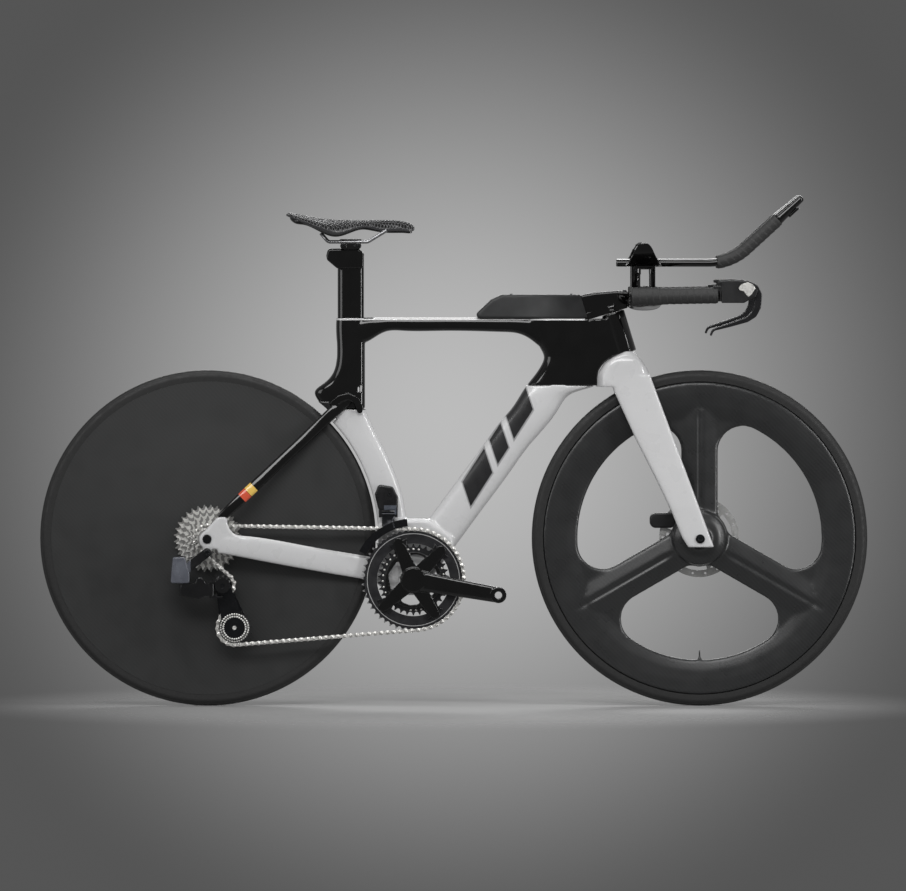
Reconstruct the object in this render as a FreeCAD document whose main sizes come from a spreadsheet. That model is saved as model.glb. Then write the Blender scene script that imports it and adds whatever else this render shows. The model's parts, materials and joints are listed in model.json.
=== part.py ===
"""Time trial bicycle, drive side towards -Y, front towards +X, floor at Z = 0, in millimetres."""
import FreeCAD, Part
import Sketcher
import math
import os
import re

Vector = FreeCAD.Vector
SIDE = Vector(0, 1, 0)
UP = Vector(0, 0, 1)
AHEAD = Vector(1, 0, 0)

# Driving dimensions in millimetres
SIZES = {
    # frame geometry
    "wheelbase": 984.0,
    "tyre_radius": 336.0,
    "tyre_width": 25.0,
    "chainstay_length": 419.5,
    "bracket_drop": 82.2,
    "fork_rake": 34.0,
    "fork_length": 396.0,
    "head_tube_length": 85.0,
    "head_tube_radius": 23.0,
    "top_tube_drop": 10.0,
    "seat_setback": 125.4,
    "tyre_gap": 5.0,
    "cut_overrun": 40.0,
    "moving_gap": 1.0,
    "running_clearance": 0.05,
    "seat_clearance": 0.3,
    # frame tubes
    "top_tube_depth": 26.5,
    "top_tube_width": 33.0,
    "head_block_depth": 165.0,
    "head_block_height": 104.0,
    "head_block_width": 46.0,
    "down_tube_depth": 75.0,
    "down_tube_width": 44.0,
    "seat_tube_depth": 57.0,
    "seat_tube_width": 33.0,
    "seat_tube_upper_length": 181.0,
    "seat_tail_reach": 44.0,
    "seat_tube_lower_depth": 60.0,
    "bracket_shell_radius": 25.0,
    "bracket_shell_width": 72.0,
    "bracket_block_width": 54.0,
    "bracket_block_reach": 118.0,
    "chainstay_depth": 47.0,
    "chainstay_width": 15.0,
    "chainstay_inner_offset": 29.0,
    "seatstay_depth": 22.0,
    "seatstay_width": 12.0,
    "seatstay_top_offset": 23.0,
    "dropout_gap": 71.0,
    "dropout_thickness": 8.0,
    "dropout_radius": 17.0,
    "dropout_height": 44.0,
    "dropout_length": 62.0,
    "hanger_drop": 27.0,
    "hanger_radius": 9.0,
    # axles and hubs
    "axle_radius": 6.0,
    "hub_axle_radius": 8.5,
    "axle_head_radius": 9.0,
    "axle_head_depth": 3.0,
    "bearing_outer_radius": 14.0,
    "bearing_width": 8.0,
    # wheels
    "rim_outer_radius": 313.5,
    "rim_half_width": 12.5,
    "rim_inner_radius": 244.0,
    "rim_inner_half_width": 5.0,
    "hub_flange_radius": 54.0,
    "hub_boss_radius": 38.0,
    "spoke_half_width": 37.0,
    "spoke_half_thickness": 12.0,
    "spoke_edge_half_thickness": 4.0,
    "window_hub_radius": 58.0,
    "window_outer_fillet": 50.0,
    "window_hub_fillet": 18.0,
    "front_hub_half_width": 49.5,
    "front_dropout_gap": 50.0,
    "valve_radius": 3.0,
    "valve_length": 26.0,
    "disc_drive_offset": 20.0,
    "disc_left_offset": 24.0,
    "rotor_radius": 80.0,
    "rotor_thickness": 1.8,
    "rotor_brake_depth": 14.0,
    "rotor_carrier_radius": 26.0,
    "rotor_boss_radius": 22.0,
    "rotor_arm_width": 9.0,
    "front_rotor_offset": 37.0,
    "rear_rotor_offset": 55.0,
    # drivetrain
    "chain_pitch": 12.7,
    "roller_radius": 3.85,
    "roller_seat_clearance": 0.2,
    "chain_plate_radius": 4.2,
    "chain_plate_waist": 2.9,
    "chain_plate_thickness": 0.75,
    "chain_inner_gap": 2.2,
    "chain_pin_radius": 1.75,
    "chain_plate_clearance": 0.06,
    "chain_pin_clearance": 0.06,
    "tooth_height": 2.7,
    "sprocket_thickness": 1.5,
    "chainring_offset": 47.0,
    "chainring_spacing": 7.0,
    "chainring_thickness": 1.6,
    "chainring_band": 15.0,
    "first_sprocket_offset": 26.5,
    "sprocket_pitch": 3.55,
    "sprocket_band": 9.0,
    "freehub_radius": 17.0,
    "lockring_radius": 19.0,
    "lockring_thickness": 1.6,
    "crank_length": 172.5,
    "crank_hub_radius": 24.0,
    "crank_end_radius": 16.0,
    "crank_thickness": 13.0,
    "crank_inner_offset": 49.5,
    "crank_flare": 9.0,
    "crank_boss_step": 0.8,
    "pedal_thread_radius": 7.14,
    "spindle_radius": 12.0,
    "spider_radius": 90.0,
    "spider_arm_width": 34.0,
    "spider_web_radius": 56.0,
    "spider_window_inner": 28.0,
    "spider_window_outer": 51.0,
    "spider_tip_width": 20.0,
    "spider_thickness": 5.0,
    "spindle_bearing_radius": 18.5,
    "spindle_bearing_width": 7.0,
    # derailleurs
    "guide_pulley_ahead": 31.1,
    "guide_pulley_drop": 92.2,
    "tension_pulley_ahead": 54.3,
    "tension_pulley_drop": 177.7,
    "pulley_thickness": 1.8,
    "pulley_bolt_radius": 3.0,
    "pulley_boss_radius": 8.0,
    "cage_half_gap": 5.2,
    "cage_plate_thickness": 1.8,
    "cage_half_width": 15.0,
    "cage_outer_end": 23.0,
    "cage_inner_end": 29.0,
    "derailleur_link_length": 60.0,
    "derailleur_link_height": 24.0,
    "derailleur_link_width": 9.0,
    "derailleur_link_spacing": 13.0,
    "derailleur_pin_radius": 2.6,
    "derailleur_body_offset": 83.0,
    "derailleur_body_length": 38.0,
    "derailleur_body_height": 52.0,
    "derailleur_body_width": 26.0,
    "knuckle_radius": 15.0,
    "front_cage_radius": 107.5,
    "front_cage_depth": 15.0,
    "front_cage_half_gap": 5.6,
    "front_cage_thickness": 1.5,
    "front_shifter_height": 74.0,
    "front_shifter_width": 22.0,
    "front_lug_width": 6.0,
    "front_cage_barrel_length": 25.0,
    # brakes
    "caliper_length": 52.0,
    "caliper_height": 30.0,
    "caliper_width": 30.0,
    "pad_length": 22.0,
    "pad_height": 16.0,
    "pad_thickness": 3.6,
    "pad_clearance": 0.45,
    "front_caliper_back": 73.0,
    "front_caliper_rise": 34.0,
    "rear_caliper_ahead": 66.0,
    "rear_caliper_rise": 34.0,
    # fork and steering
    "crown_rear_radius": 72.0,
    "crown_top_radius": 24.0,
    "crown_height": 42.0,
    "crown_front_radius": 31.0,
    "crown_half_width": 42.0,
    "blade_depth": 74.0,
    "blade_thickness": 15.0,
    "blade_top_offset": 33.0,
    "fork_slot_half": 22.0,
    "steerer_radius": 14.3,
    "headset_radius": 20.0,
    "headset_width": 8.0,
    "stem_rear_radius": 55.0,
    "stem_width": 38.0,
    "stem_height": 44.0,
    "bar_chord": 66.0,
    "bar_thickness": 24.0,
    "bar_half_width": 200.0,
    "bar_rise": 18.0,
    "bar_reach": 59.4,
    "grip_rise": 18.0,
    "grip_length": 174.0,
    "grip_radius": 12.0,
    "tape_thickness": 3.5,
    "hood_height": 42.0,
    "hood_width": 27.0,
    "lever_slot_width": 11.0,
    "lever_width": 10.0,
    "lever_depth": 9.0,
    "lever_drop": 100.0,
    "lever_pin_radius": 2.5,
    "riser_length": 48.0,
    "riser_width": 26.0,
    "riser_offset": 60.0,
    "riser_height": 74.0,
    "riser_window": 18.0,
    "riser_bolt_radius": 2.0,
    "clamp_height": 21.0,
    "extension_radius": 7.6,
    "extension_tail": 52.0,
    "extension_run": 148.0,
    "extension_reach": 128.0,
    "extension_bend_radius": 110.0,
    "extension_tape_radius": 12.5,
    "cup_radius": 48.0,
    "cup_wall": 3.0,
    "cup_length": 62.0,
    "cup_offset": 115.0,
    "arm_pad_thickness": 7.0,
    "shifter_length": 66.0,
    "shifter_radius": 11.5,
    "shifter_tip_radius": 7.0,
    "shift_button_length": 26.0,
    "shift_button_width": 9.0,
    "shift_button_height": 4.0,
    "shift_button_travel": 1.5,
    # storage box
    "storage_length": 229.0,
    "storage_height": 46.0,
    "storage_width": 42.0,
    "storage_seat_depth": 2.0,
    # seat
    "post_depth": 52.6,
    "post_width": 26.0,
    "post_insert": 130.0,
    "post_head_height": 38.0,
    "post_head_width": 32.0,
    "rail_rise": 151.5,
    "rail_radius": 3.5,
    "rail_half_spacing": 22.0,
    "rail_run": 79.0,
    "rail_tail_length": 13.0,
    "rail_nose_length": 38.0,
    "rail_nose_rise": 23.0,
    "rail_bend_radius": 10.0,
    "saddle_clamp_length": 50.0,
    "saddle_clamp_height": 24.0,
    "saddle_clamp_width": 58.0,
    "saddle_length": 256.0,
    "saddle_width": 140.0,
    "saddle_drop": 32.0,
    "saddle_back": 128.6,
    "saddle_shell_thickness": 3.0,
    "seat_clamp_length": 20.0,
    "seat_clamp_height": 34.0,
    "seat_clamp_width": 18.0,
}

# Angles in degrees, counts and proportions
HEAD_ANGLE = 73.0
CRANK_ANGLE = -10.0
OUTER_RING_TEETH = 50
INNER_RING_TEETH = 34
SPROCKET_TEETH = (32, 30, 27, 24, 21, 19, 17, 15, 14, 13, 12, 11)
ENGAGED_SPROCKET = 9
GUIDE_PULLEY_TEETH = 11
TENSION_PULLEY_TEETH = 17
SPIDER_ANGLES = (47.0, 112.0, 222.0, 302.0)
SPOKE_ANGLES = (90.0, 210.0, 330.0)

doc = FreeCAD.newDocument("TimeTrialBike")
sheet = doc.addObject("Spreadsheet::Sheet", "Sizes")
for row, (name, millimetres) in enumerate(SIZES.items(), start=1):
    sheet.set(f"A{row}", name)
    sheet.set(f"B{row}", str(millimetres))
    sheet.setAlias(f"B{row}", name)
doc.recompute()


class SheetSizes:
    """Reads a named size from the spreadsheet."""

    def __getattr__(self, name):
        return float(sheet.get(name))


size = SheetSizes()
subparts = []


def bound(text):
    """Expression for a cell: every plain name in the text is looked up in the sheet."""
    return re.sub(r"\b([a-z]\w*)\b", r"Sizes.\1", text)


def value_of(text):
    """Present value of such an expression."""
    return float(sheet.evalExpression(text))


def keep(label, item):
    """Makes a document object, or a shape, one sub-part under its own label."""
    if isinstance(item, Part.Shape):
        feature = doc.addObject("Part::Feature", label)
        feature.Shape = item
        item = feature
    item.Label = label
    subparts.append(item)
    return item


def turned(name, profile, base, axis):
    """A turned piece: a sketched half section of (radius, height) cells, revolved about its axis.

    A corner may hold a third entry, True, which makes it the middle of an arc between its neighbours.
    """
    body = doc.addObject("PartDesign::Body", name)
    sketch = body.newObject("Sketcher::SketchObject", name + "_section")
    plane = [part for part in body.Origin.OriginFeatures if part.Role == "XZ_Plane"][0]
    sketch.AttachmentSupport = [(plane, "")]
    sketch.MapMode = "FlatFace"
    spots = [Vector(value_of(corner[0]), value_of(corner[1]), 0) for corner in profile]
    on_arc = [len(corner) > 2 for corner in profile]
    ends = [index for index in range(len(profile)) if not on_arc[index]]
    joints = []
    for order, first in enumerate(ends):
        last = ends[(order + 1) % len(ends)]
        middle = (first + 1) % len(profile)
        if on_arc[middle]:
            curve = Part.Arc(spots[first], spots[middle], spots[last])
            line = sketch.addGeometry(curve, False)
            starts = sketch.Geometry[line].StartPoint.distanceToPoint(spots[first])
            finishes = sketch.Geometry[line].EndPoint.distanceToPoint(spots[first])
            joints.append((line, 1, 2) if starts < finishes else (line, 2, 1))
            mark = sketch.addGeometry(Part.Point(spots[middle]), True)
            sketch.addConstraint(Sketcher.Constraint("PointOnObject", mark, 1, line))
            place_corner(sketch, mark, 1, profile[middle])
        else:
            line = sketch.addGeometry(Part.LineSegment(spots[first], spots[last]), False)
            joints.append((line, 1, 2))
    for order, (line, start, end) in enumerate(joints):
        following = joints[(order + 1) % len(joints)]
        sketch.addConstraint(Sketcher.Constraint("Coincident", line, end, following[0], following[1]))
        place_corner(sketch, line, start, profile[ends[order]])
    turn = body.newObject("PartDesign::Revolution", name + "_turn")
    turn.Profile = sketch
    turn.ReferenceAxis = (sketch, ["V_Axis"])
    turn.Angle = 360
    body.Placement = FreeCAD.Placement(base, FreeCAD.Rotation(UP, axis))
    return body


def place_corner(sketch, line, end, corner):
    """Ties one sketch point to its two cells."""
    for kind, text in zip(("DistanceX", "DistanceY"), corner):
        rule = Sketcher.Constraint(kind, -1, 1, line, end, value_of(text))
        index = sketch.addConstraint(rule)
        sketch.setExpression(f"Constraints[{index}]", bound(text))


def ring(name, inner, outer, width, base, axis=SIDE):
    """A plain ring such as a bearing."""
    profile = [(inner, "0"), (outer, "0"), (outer, width), (inner, width)]
    return turned(name, profile, base, axis)


def group(label, members):
    """Several alike solids under one label."""
    compound = doc.addObject("Part::Compound", label)
    compound.Links = members
    return keep(label, compound)


def rounded_section(centre, depth_axis, width_axis, half_depth, half_width, fullness):
    """Poles of four quarter curves, whose fullness runs from an ellipse (0.55) to nearly a rectangle (1)."""
    ways = [depth_axis * half_depth, width_axis * half_width, depth_axis * -half_depth,
            width_axis * -half_width]
    quarters = []
    for first, second in zip(ways, ways[1:] + ways[:1]):
        quarters.append([
            centre + first, centre + first + second * fullness,
            centre + second + first * fullness, centre + second,
        ])
    return quarters


def section_face(section):
    """The flat face inside a section."""
    edges = []
    for poles in section:
        curve = Part.BezierCurve()
        curve.setPoles(poles)
        edges.append(curve.toShape())
    return Part.Face(Part.Wire(edges))


def edge_section(first, second, half_width, fullness, offset=0.0):
    """A section whose outline runs between two points of the side view, shifted sideways by offset."""
    span = second - first
    middle = first + span * 0.5 + SIDE * offset
    return rounded_section(middle, span / span.Length, SIDE, span.Length / 2, half_width, fullness)


def loft(sections):
    """A smooth solid through sections, whose four sides share their edges exactly."""
    centres = [(section[0][0] + section[2][0]) * 0.5 for section in sections]
    travel = [0.0]
    for before, after in zip(centres, centres[1:]):
        travel.append(travel[-1] + (after - before).Length)
    faces = [section_face(sections[0]), section_face(sections[-1])]
    for quarter in range(len(sections[0])):
        rails = []
        for pole in range(len(sections[0][quarter])):
            rail = Part.BSplineCurve()
            spots = [section[quarter][pole] for section in sections]
            rail.interpolate(Points=spots, Parameters=[step / travel[-1] for step in travel])
            rails.append(rail)
        degree = len(rails) - 1
        surface = Part.BSplineSurface()
        surface.buildFromPolesMultsKnots(
            [rail.getPoles() for rail in rails], [degree + 1, degree + 1], rails[0].getMultiplicities(),
            [0, 1], rails[0].getKnots(), False, False, degree, rails[0].Degree)
        faces.append(surface.toShape())
    shell = Part.Shell(faces)
    shell.sewShape()
    solid = Part.Solid(shell)
    if solid.Volume < 0:
        solid.reverse()
    return solid


def rounded_edges(corners, radius, closed=True):
    """Straight runs joined by tangent arcs, no arc longer than its runs allow."""
    count = len(corners)
    trimmed = []
    for index, corner in enumerate(corners):
        if not closed and index in (0, count - 1):
            trimmed.append((corner, None, corner))
            continue
        before = corners[index - 1] - corner
        after = corners[(index + 1) % count] - corner
        half = before.getAngle(after) / 2
        reach = min(radius / math.tan(half), 0.45 * min(before.Length, after.Length))
        before.normalize()
        after.normalize()
        inward = before + after
        inward.normalize()
        depth = reach / math.cos(half) - reach * math.tan(half)
        trimmed.append((corner + before * reach, corner + inward * depth, corner + after * reach))
    edges = []
    for index, (start, middle, end) in enumerate(trimmed):
        if middle is not None:
            edges.append(Part.Arc(start, middle, end).toShape())
        if closed or index < count - 1:
            edges.append(Part.LineSegment(end, trimmed[(index + 1) % count][0]).toShape())
    return Part.Wire(edges)


def slab(corners, corner_radius, left, right, edge_radius=0.0):
    """A side-view outline given thickness from left to right along Y, with softened rims."""
    outline = rounded_edges([Vector(spot.x, left, spot.z) for spot in corners], corner_radius)
    solid = Part.Face(outline).extrude(SIDE * (right - left))
    if edge_radius:
        rims = [edge for edge in solid.Edges if on_rim(edge, left) or on_rim(edge, right)]
        solid = solid.makeFillet(edge_radius, rims)
    return solid


def on_rim(edge, side):
    """True for an edge that lies in the plane Y = side."""
    box = edge.BoundBox
    return abs(box.YMin - side) < 1e-6 and abs(box.YMax - side) < 1e-6


def side_cylinder(centre, radius, left, right):
    """A cylinder along Y."""
    return Part.makeCylinder(radius, right - left, Vector(centre.x, left, centre.z), SIDE)


def rod(points, radius, bend_radius):
    """A round rod along straight runs joined by tangent arcs."""
    path = rounded_edges(points, bend_radius, False)
    start = points[1] - points[0]
    section = Part.Wire([Part.makeCircle(radius, points[0], start)])
    return path.makePipeShell([section], True, False)


def mirrored(shape):
    """The left-right mirror image."""
    return shape.mirror(Vector(0, 0, 0), SIDE)


def pair(shape):
    """A right-hand shape together with its left-hand image."""
    return Part.makeCompound([shape, mirrored(shape)])


def largest_solid(shape):
    """The main solid of a shape that a cut has split."""
    return max(shape.Solids, key=lambda solid: solid.Volume)


def at(origin, ahead=0.0, rise=0.0, side=0.0):
    """A point given by its distances from an anchor."""
    return Vector(origin.x + ahead, origin.y + side, origin.z + rise)


# Anchor points of the whole bicycle
REAR_AXLE = Vector(-size.wheelbase / 2, 0, size.tyre_radius)
FRONT_AXLE = Vector(size.wheelbase / 2, 0, size.tyre_radius)
bracket_ahead = math.sqrt(size.chainstay_length ** 2 - size.bracket_drop ** 2)
BRACKET = at(REAR_AXLE, bracket_ahead, -size.bracket_drop)
STEER = Vector(-math.cos(math.radians(HEAD_ANGLE)), 0, math.sin(math.radians(HEAD_ANGLE)))
STEER_AHEAD = Vector(STEER.z, 0, -STEER.x)
STEER_FOOT = FRONT_AXLE - STEER_AHEAD * size.fork_rake
SEAT_X = BRACKET.x - size.seat_setback


def steer_point(along, ahead=0.0, side=0.0):
    """A point given along the steering axis from the axle, ahead of the axis and to its side."""
    return STEER_FOOT + STEER * along + STEER_AHEAD * ahead + SIDE * side


CROWN = steer_point(size.fork_length)
HEAD_TOP = steer_point(size.fork_length + size.moving_gap + size.head_tube_length)
TOP_TUBE_Z = HEAD_TOP.z - size.top_tube_drop
RAIL_Z = TOP_TUBE_Z + size.rail_rise
BAR_X = HEAD_TOP.x + size.bar_reach
BAR_Z = HEAD_TOP.z + size.bar_rise
RISER_Z = BAR_Z + size.riser_height
steer_x_at_top = CROWN.x + (TOP_TUBE_Z - CROWN.z) * STEER.x / STEER.z


# Frame mouldings, each cut where it is bonded to the one before it

# down from the crown, behind the crown to the rear edge and to the front edge
HEAD_BLOCK_SHARES = (
    (-0.70, 1.20, 0.10), (-0.39, 1.13, 0.07), (-0.11, 1.035, 0.03), (0.06, 0.99, 0.02),
    (0.20, 1.015, 0.06), (0.43, 1.11, 0.14), (0.61, 1.197, 0.26),
)
HEAD_BLOCK_FULLNESS_SHARE = 0.82
TUBE_FULLNESS_SHARE = 0.74
BLADE_FULLNESS_SHARE = 0.62


def crown_radius(drop):
    """Radius of the swept crown dome at a distance below its top."""
    rise = max(0.0, 1 - drop / size.crown_height)
    swell = size.crown_rear_radius - size.crown_top_radius
    return size.crown_top_radius + swell * math.sqrt(max(0.0, 1 - rise * rise))


def crown_envelope(gap):
    """The dome that the fork crown sweeps as it steers, grown by a running gap."""
    steps = 12
    dome = []
    for step in range(steps + 1):
        drop = size.crown_height * (1 - math.cos(math.pi / 2 * step / steps))
        dome.append(steer_point(size.fork_length + gap - drop, crown_radius(drop) + gap))
    curve = Part.BSplineCurve()
    curve.interpolate(dome)
    skirt = steer_point(size.fork_length - size.crown_height * 3, size.crown_rear_radius + gap)
    foot = steer_point(size.fork_length - size.crown_height * 3)
    top = steer_point(size.fork_length + gap)
    edges = [
        Part.LineSegment(top, dome[0]).toShape(), curve.toShape(),
        Part.LineSegment(dome[-1], skirt).toShape(),
        Part.LineSegment(skirt, foot).toShape(), Part.LineSegment(foot, top).toShape(),
    ]
    return Part.Face(Part.Wire(edges)).revolve(CROWN, STEER, 360)


def head_block_outer():
    """Hourglass block behind the head tube, stacked from level sections, and the round nose."""
    sections = []
    for down, behind, front in HEAD_BLOCK_SHARES:
        level = CROWN.z - down * size.head_block_height
        rear = Vector(CROWN.x - behind * size.head_block_depth, 0, level)
        fore = Vector(CROWN.x - front * size.head_block_depth, 0, level)
        sections.append(edge_section(rear, fore, size.head_block_width / 2, HEAD_BLOCK_FULLNESS_SHARE))
    block = loft(sections)
    foot = steer_point(size.fork_length - size.crown_height)
    nose = Part.makeCylinder(size.head_tube_radius, (HEAD_TOP - foot).Length, foot, STEER)
    deck = Part.makeBox(size.wheelbase, size.head_block_width * 2, size.head_block_height,
                        Vector(0, -size.head_block_width, TOP_TUBE_Z - size.storage_seat_depth))
    swing = size.stem_rear_radius + size.moving_gap
    roof = Part.makeCylinder(swing, size.cut_overrun * 2, HEAD_TOP, STEER)
    solid = block.cut(deck).fuse(nose).cut(crown_envelope(size.moving_gap))
    return largest_solid(solid.cut(roof).removeSplitter())


def head_tube_block():
    """The block bored for the steerer and the two headset bearings."""
    bore = size.steerer_radius + size.moving_gap
    tunnel = Part.makeCylinder(bore, size.fork_length, steer_point(size.fork_length / 2), STEER)
    cups = [
        Part.makeCylinder(size.headset_radius, size.headset_width, spot, STEER)
        for spot in headset_seats()
    ]
    return head_outer.cut(tunnel).cut(cups[0]).cut(cups[1])


def headset_seats():
    """Lower ends of the two headset bearings."""
    low = steer_point(size.fork_length + size.moving_gap)
    return [low, HEAD_TOP - STEER * size.headset_width]


head_outer = head_block_outer()
keep("head_tube_block", head_tube_block())

headset_inner = "steerer_radius + running_clearance"
headset_rings = [
    ring(f"headset_bearing_{index}", headset_inner, "headset_radius", "headset_width", spot, STEER)
    for index, spot in enumerate(headset_seats())
]

# down the seat tube, tail behind the tube
SEAT_TAIL_SHARES = (
    (0.0, 0.0), (0.25, 0.0), (0.46, 0.0), (0.60, 0.14), (0.72, 0.55), (0.81, 0.98), (0.91, 0.86), (1.0,
                                                                                                   0.60),
)


def tyre_space(gap, half_width):
    """Round space that the rear tyre needs."""
    return side_cylinder(REAR_AXLE, size.tyre_radius + gap, -half_width, half_width)


def seat_tube_outer():
    """Upper seat tube with its tail that follows the wheel."""
    sections = []
    for down, tail in SEAT_TAIL_SHARES:
        level = TOP_TUBE_Z - down * size.seat_tube_upper_length
        rear = Vector(SEAT_X - size.seat_tube_depth / 2 - tail * size.seat_tail_reach, 0, level)
        fore = Vector(SEAT_X + size.seat_tube_depth / 2, 0, level)
        sections.append(edge_section(rear, fore, size.seat_tube_width / 2, TUBE_FULLNESS_SHARE))
    return loft(sections).cut(tyre_space(size.tyre_gap * 3, size.cut_overrun * 2))


def post_column(gap, low, high):
    """Upright of the seatpost section, grown all round by gap."""
    deep = size.post_depth / 2 + gap
    wide = size.post_width / 2 + gap
    section = rounded_section(Vector(SEAT_X, 0, low), AHEAD, SIDE, deep, wide, TUBE_FULLNESS_SHARE)
    return section_face(section).extrude(UP * (high - low))


POST_FOOT = TOP_TUBE_Z - size.post_insert
seat_outer = seat_tube_outer()
post_bore = post_column(size.seat_clearance, POST_FOOT - size.moving_gap * 20,
                        TOP_TUBE_Z + size.cut_overrun)

# along from the seat tube to the steering axis, depth
TOP_TUBE_SHARES = (
    (0.0, 1.9), (0.03, 1.95), (0.06, 1.84), (0.095, 1.44), (0.131, 1.07), (0.2, 1.0), (0.35, 1.0),
    (0.5, 1.04),
    (0.58, 1.09), (0.634, 1.2), (0.68, 1.62), (0.718, 2.2), (0.76, 2.5),
)
TOP_TUBE_FULLNESS_SHARE = 0.85


def top_tube_outer():
    """Level top tube that deepens into a gusset at both ends."""
    sections = []
    for along, deep in TOP_TUBE_SHARES:
        ahead = SEAT_X + along * (steer_x_at_top - SEAT_X)
        top = Vector(ahead, 0, TOP_TUBE_Z)
        foot = Vector(ahead, 0, TOP_TUBE_Z - deep * size.top_tube_depth)
        inside = ahead < SEAT_X + size.seat_tube_depth / 2
        fullness = TUBE_FULLNESS_SHARE if inside else TOP_TUBE_FULLNESS_SHARE
        sections.append(edge_section(top, foot, size.top_tube_width / 2, fullness))
    return loft(sections)


# corners of the storage box from its rear end: along its length, up its height
STORAGE_SHARES = ((0.0, 0.0), (0.18, 0.81), (0.27, 1.0), (1.10, 1.0), (1.10, 0.0))


def storage_box():
    """Box bolted on the top tube, hollowed to let the stem swing."""
    reach = steer_x_at_top - (size.stem_rear_radius + size.moving_gap) / STEER.z
    tail = reach - size.storage_length
    floor = TOP_TUBE_Z - size.storage_seat_depth
    corners = [
        Vector(tail + along * size.storage_length, 0,
               floor + high * (size.storage_height + size.storage_seat_depth))
        for along, high in STORAGE_SHARES
    ]
    half = size.storage_width / 2
    body = slab(corners, size.storage_height / 6, -half, half, size.storage_width / 7)
    swing = Part.makeCylinder(
        size.stem_rear_radius + size.moving_gap, size.fork_length, steer_point(size.fork_length), STEER)
    return body.cut(swing)


def seat_clamp_block():
    """Blank of the wedge that locks the post from the front, reaching into the post bore."""
    rear = SEAT_X + size.post_depth / 3
    top = TOP_TUBE_Z + size.seat_clearance
    corners = [
        Vector(rear, 0, top), Vector(rear + size.seat_clamp_length * 1.4, 0, top),
        Vector(rear + size.seat_clamp_length, 0, top - size.seat_clamp_height),
        Vector(rear, 0, top - size.seat_clamp_height),
    ]
    half = size.seat_clamp_width / 2
    return slab(corners, size.seat_clamp_length / 10, -half, half)


storage = storage_box()
clamp_block = seat_clamp_block()
seat_pocket = post_bore.fuse(clamp_block)
keep("seat_tube_upper", seat_outer.cut(seat_pocket))
keep("top_tube", top_tube_outer().cut(seat_outer).cut(head_outer).cut(storage).cut(seat_pocket))
keep("storage_box", storage)
keep("seat_clamp", clamp_block.cut(post_bore))

# corners of the bracket block around the crank axis, in shares of its reach: ahead, up
BRACKET_BLOCK_SHARES = (
    (-0.66, 1.02), (0.24, 1.03), (0.78, 0.66), (0.34, 0.06), (0.10, -0.27), (-0.35, -0.27), (-0.66, -0.05),
)


def bracket_outer():
    """Bottom bracket block with its cross shell."""
    reach = size.bracket_block_reach
    corners = [at(BRACKET, ahead * reach, high * reach) for ahead, high in BRACKET_BLOCK_SHARES]
    half = size.bracket_block_width / 2
    block = slab(corners, size.bracket_shell_radius, -half, half, half / 3)
    shell_half = size.bracket_shell_width / 2
    shell = side_cylinder(BRACKET, size.bracket_shell_radius, -shell_half, shell_half)
    return block.fuse(shell).cut(tyre_space(size.tyre_gap, size.cut_overrun * 2))


# front edge of the lower seat tube: behind the bracket in shares of the setback, up in shares of the height
SEAT_FRONT_SHARES = (
    (0.80, 1.04), (0.75, 0.977), (0.48, 0.77), (0.297, 0.619), (0.174, 0.485), (0.113, 0.342), (0.10, 0.20),
)


def seat_tube_lower_outer():
    """Lower seat tube that follows the rear wheel down to the bracket."""
    height = TOP_TUBE_Z - size.seat_tube_upper_length - BRACKET.z
    radius = size.tyre_radius + size.tyre_gap
    sections = []
    for behind, high in SEAT_FRONT_SHARES:
        level = BRACKET.z + high * height
        fore = Vector(BRACKET.x - behind * size.seat_setback, 0, level)
        wheel_front = REAR_AXLE.x + math.sqrt(radius ** 2 - (level - REAR_AXLE.z) ** 2)
        rear = Vector(wheel_front - size.seat_tube_lower_depth / 4, 0, level)
        sections.append(edge_section(rear, fore, size.seat_tube_width / 2, TUBE_FULLNESS_SHARE))
    return loft(sections).cut(tyre_space(size.tyre_gap, size.cut_overrun * 2))


def seat_tube_shoulder():
    """Room behind the seat tube's tail, above the seatstays."""
    low = TOP_TUBE_Z - size.seat_tube_upper_length * SHOULDER_SHARE
    room = Part.makeBox(size.wheelbase, size.cut_overrun * 2, size.tyre_radius,
                        Vector(SEAT_X - size.wheelbase, -size.cut_overrun, low))
    return tyre_space(size.tyre_gap * 3, size.cut_overrun).common(room)


SHOULDER_SHARE = 1.14
bracket_block = bracket_outer()
seat_lower = seat_tube_lower_outer().cut(seat_outer).cut(bracket_block).cut(seat_tube_shoulder())
keep("seat_tube_lower", seat_lower.cut(post_bore))

# upper and lower edge of the flare under the head block: behind and below the crown
DOWN_FLARE_SHARES = (
    ((1.348, 0.981), (0.821, 1.087)), ((1.276, 0.798), (0.679, 0.791)),
    ((1.212, 0.640), (0.400, 0.635)), ((1.124, 0.45), (0.264, 0.40)),
)
DOWN_RUN_SHARES = (0.05, 0.25, 0.45, 0.62, 0.76)
DOWN_TOP_SHARES = (0.918, 0.628)


def head_point(behind, below):
    """A point given in shares of the head block from the crown."""
    return Vector(CROWN.x - behind * size.head_block_depth, 0, CROWN.z - below * size.head_block_height)


def down_tube_outer():
    """Deep down tube that flares under the head block."""
    top = head_point(*DOWN_TOP_SHARES)
    run = top - BRACKET
    across = Vector(-run.z, 0, run.x) / run.Length
    half_depth = size.down_tube_depth / 2
    sections = []
    for along in DOWN_RUN_SHARES:
        centre = BRACKET + run * along + across * (half_depth * 0.25 * (1 - along))
        half = size.down_tube_width / 2
        sections.append(rounded_section(centre, across, SIDE, half_depth, half, TUBE_FULLNESS_SHARE))
    for upper, lower in DOWN_FLARE_SHARES:
        half = size.head_block_width / 2
        sections.append(edge_section(head_point(*lower), head_point(*upper), half, TUBE_FULLNESS_SHARE))
    return loft(sections).cut(crown_envelope(size.moving_gap))


keep("down_tube", down_tube_outer().cut(head_outer).cut(bracket_block).cut(seat_lower))


# Rear triangle

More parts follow.
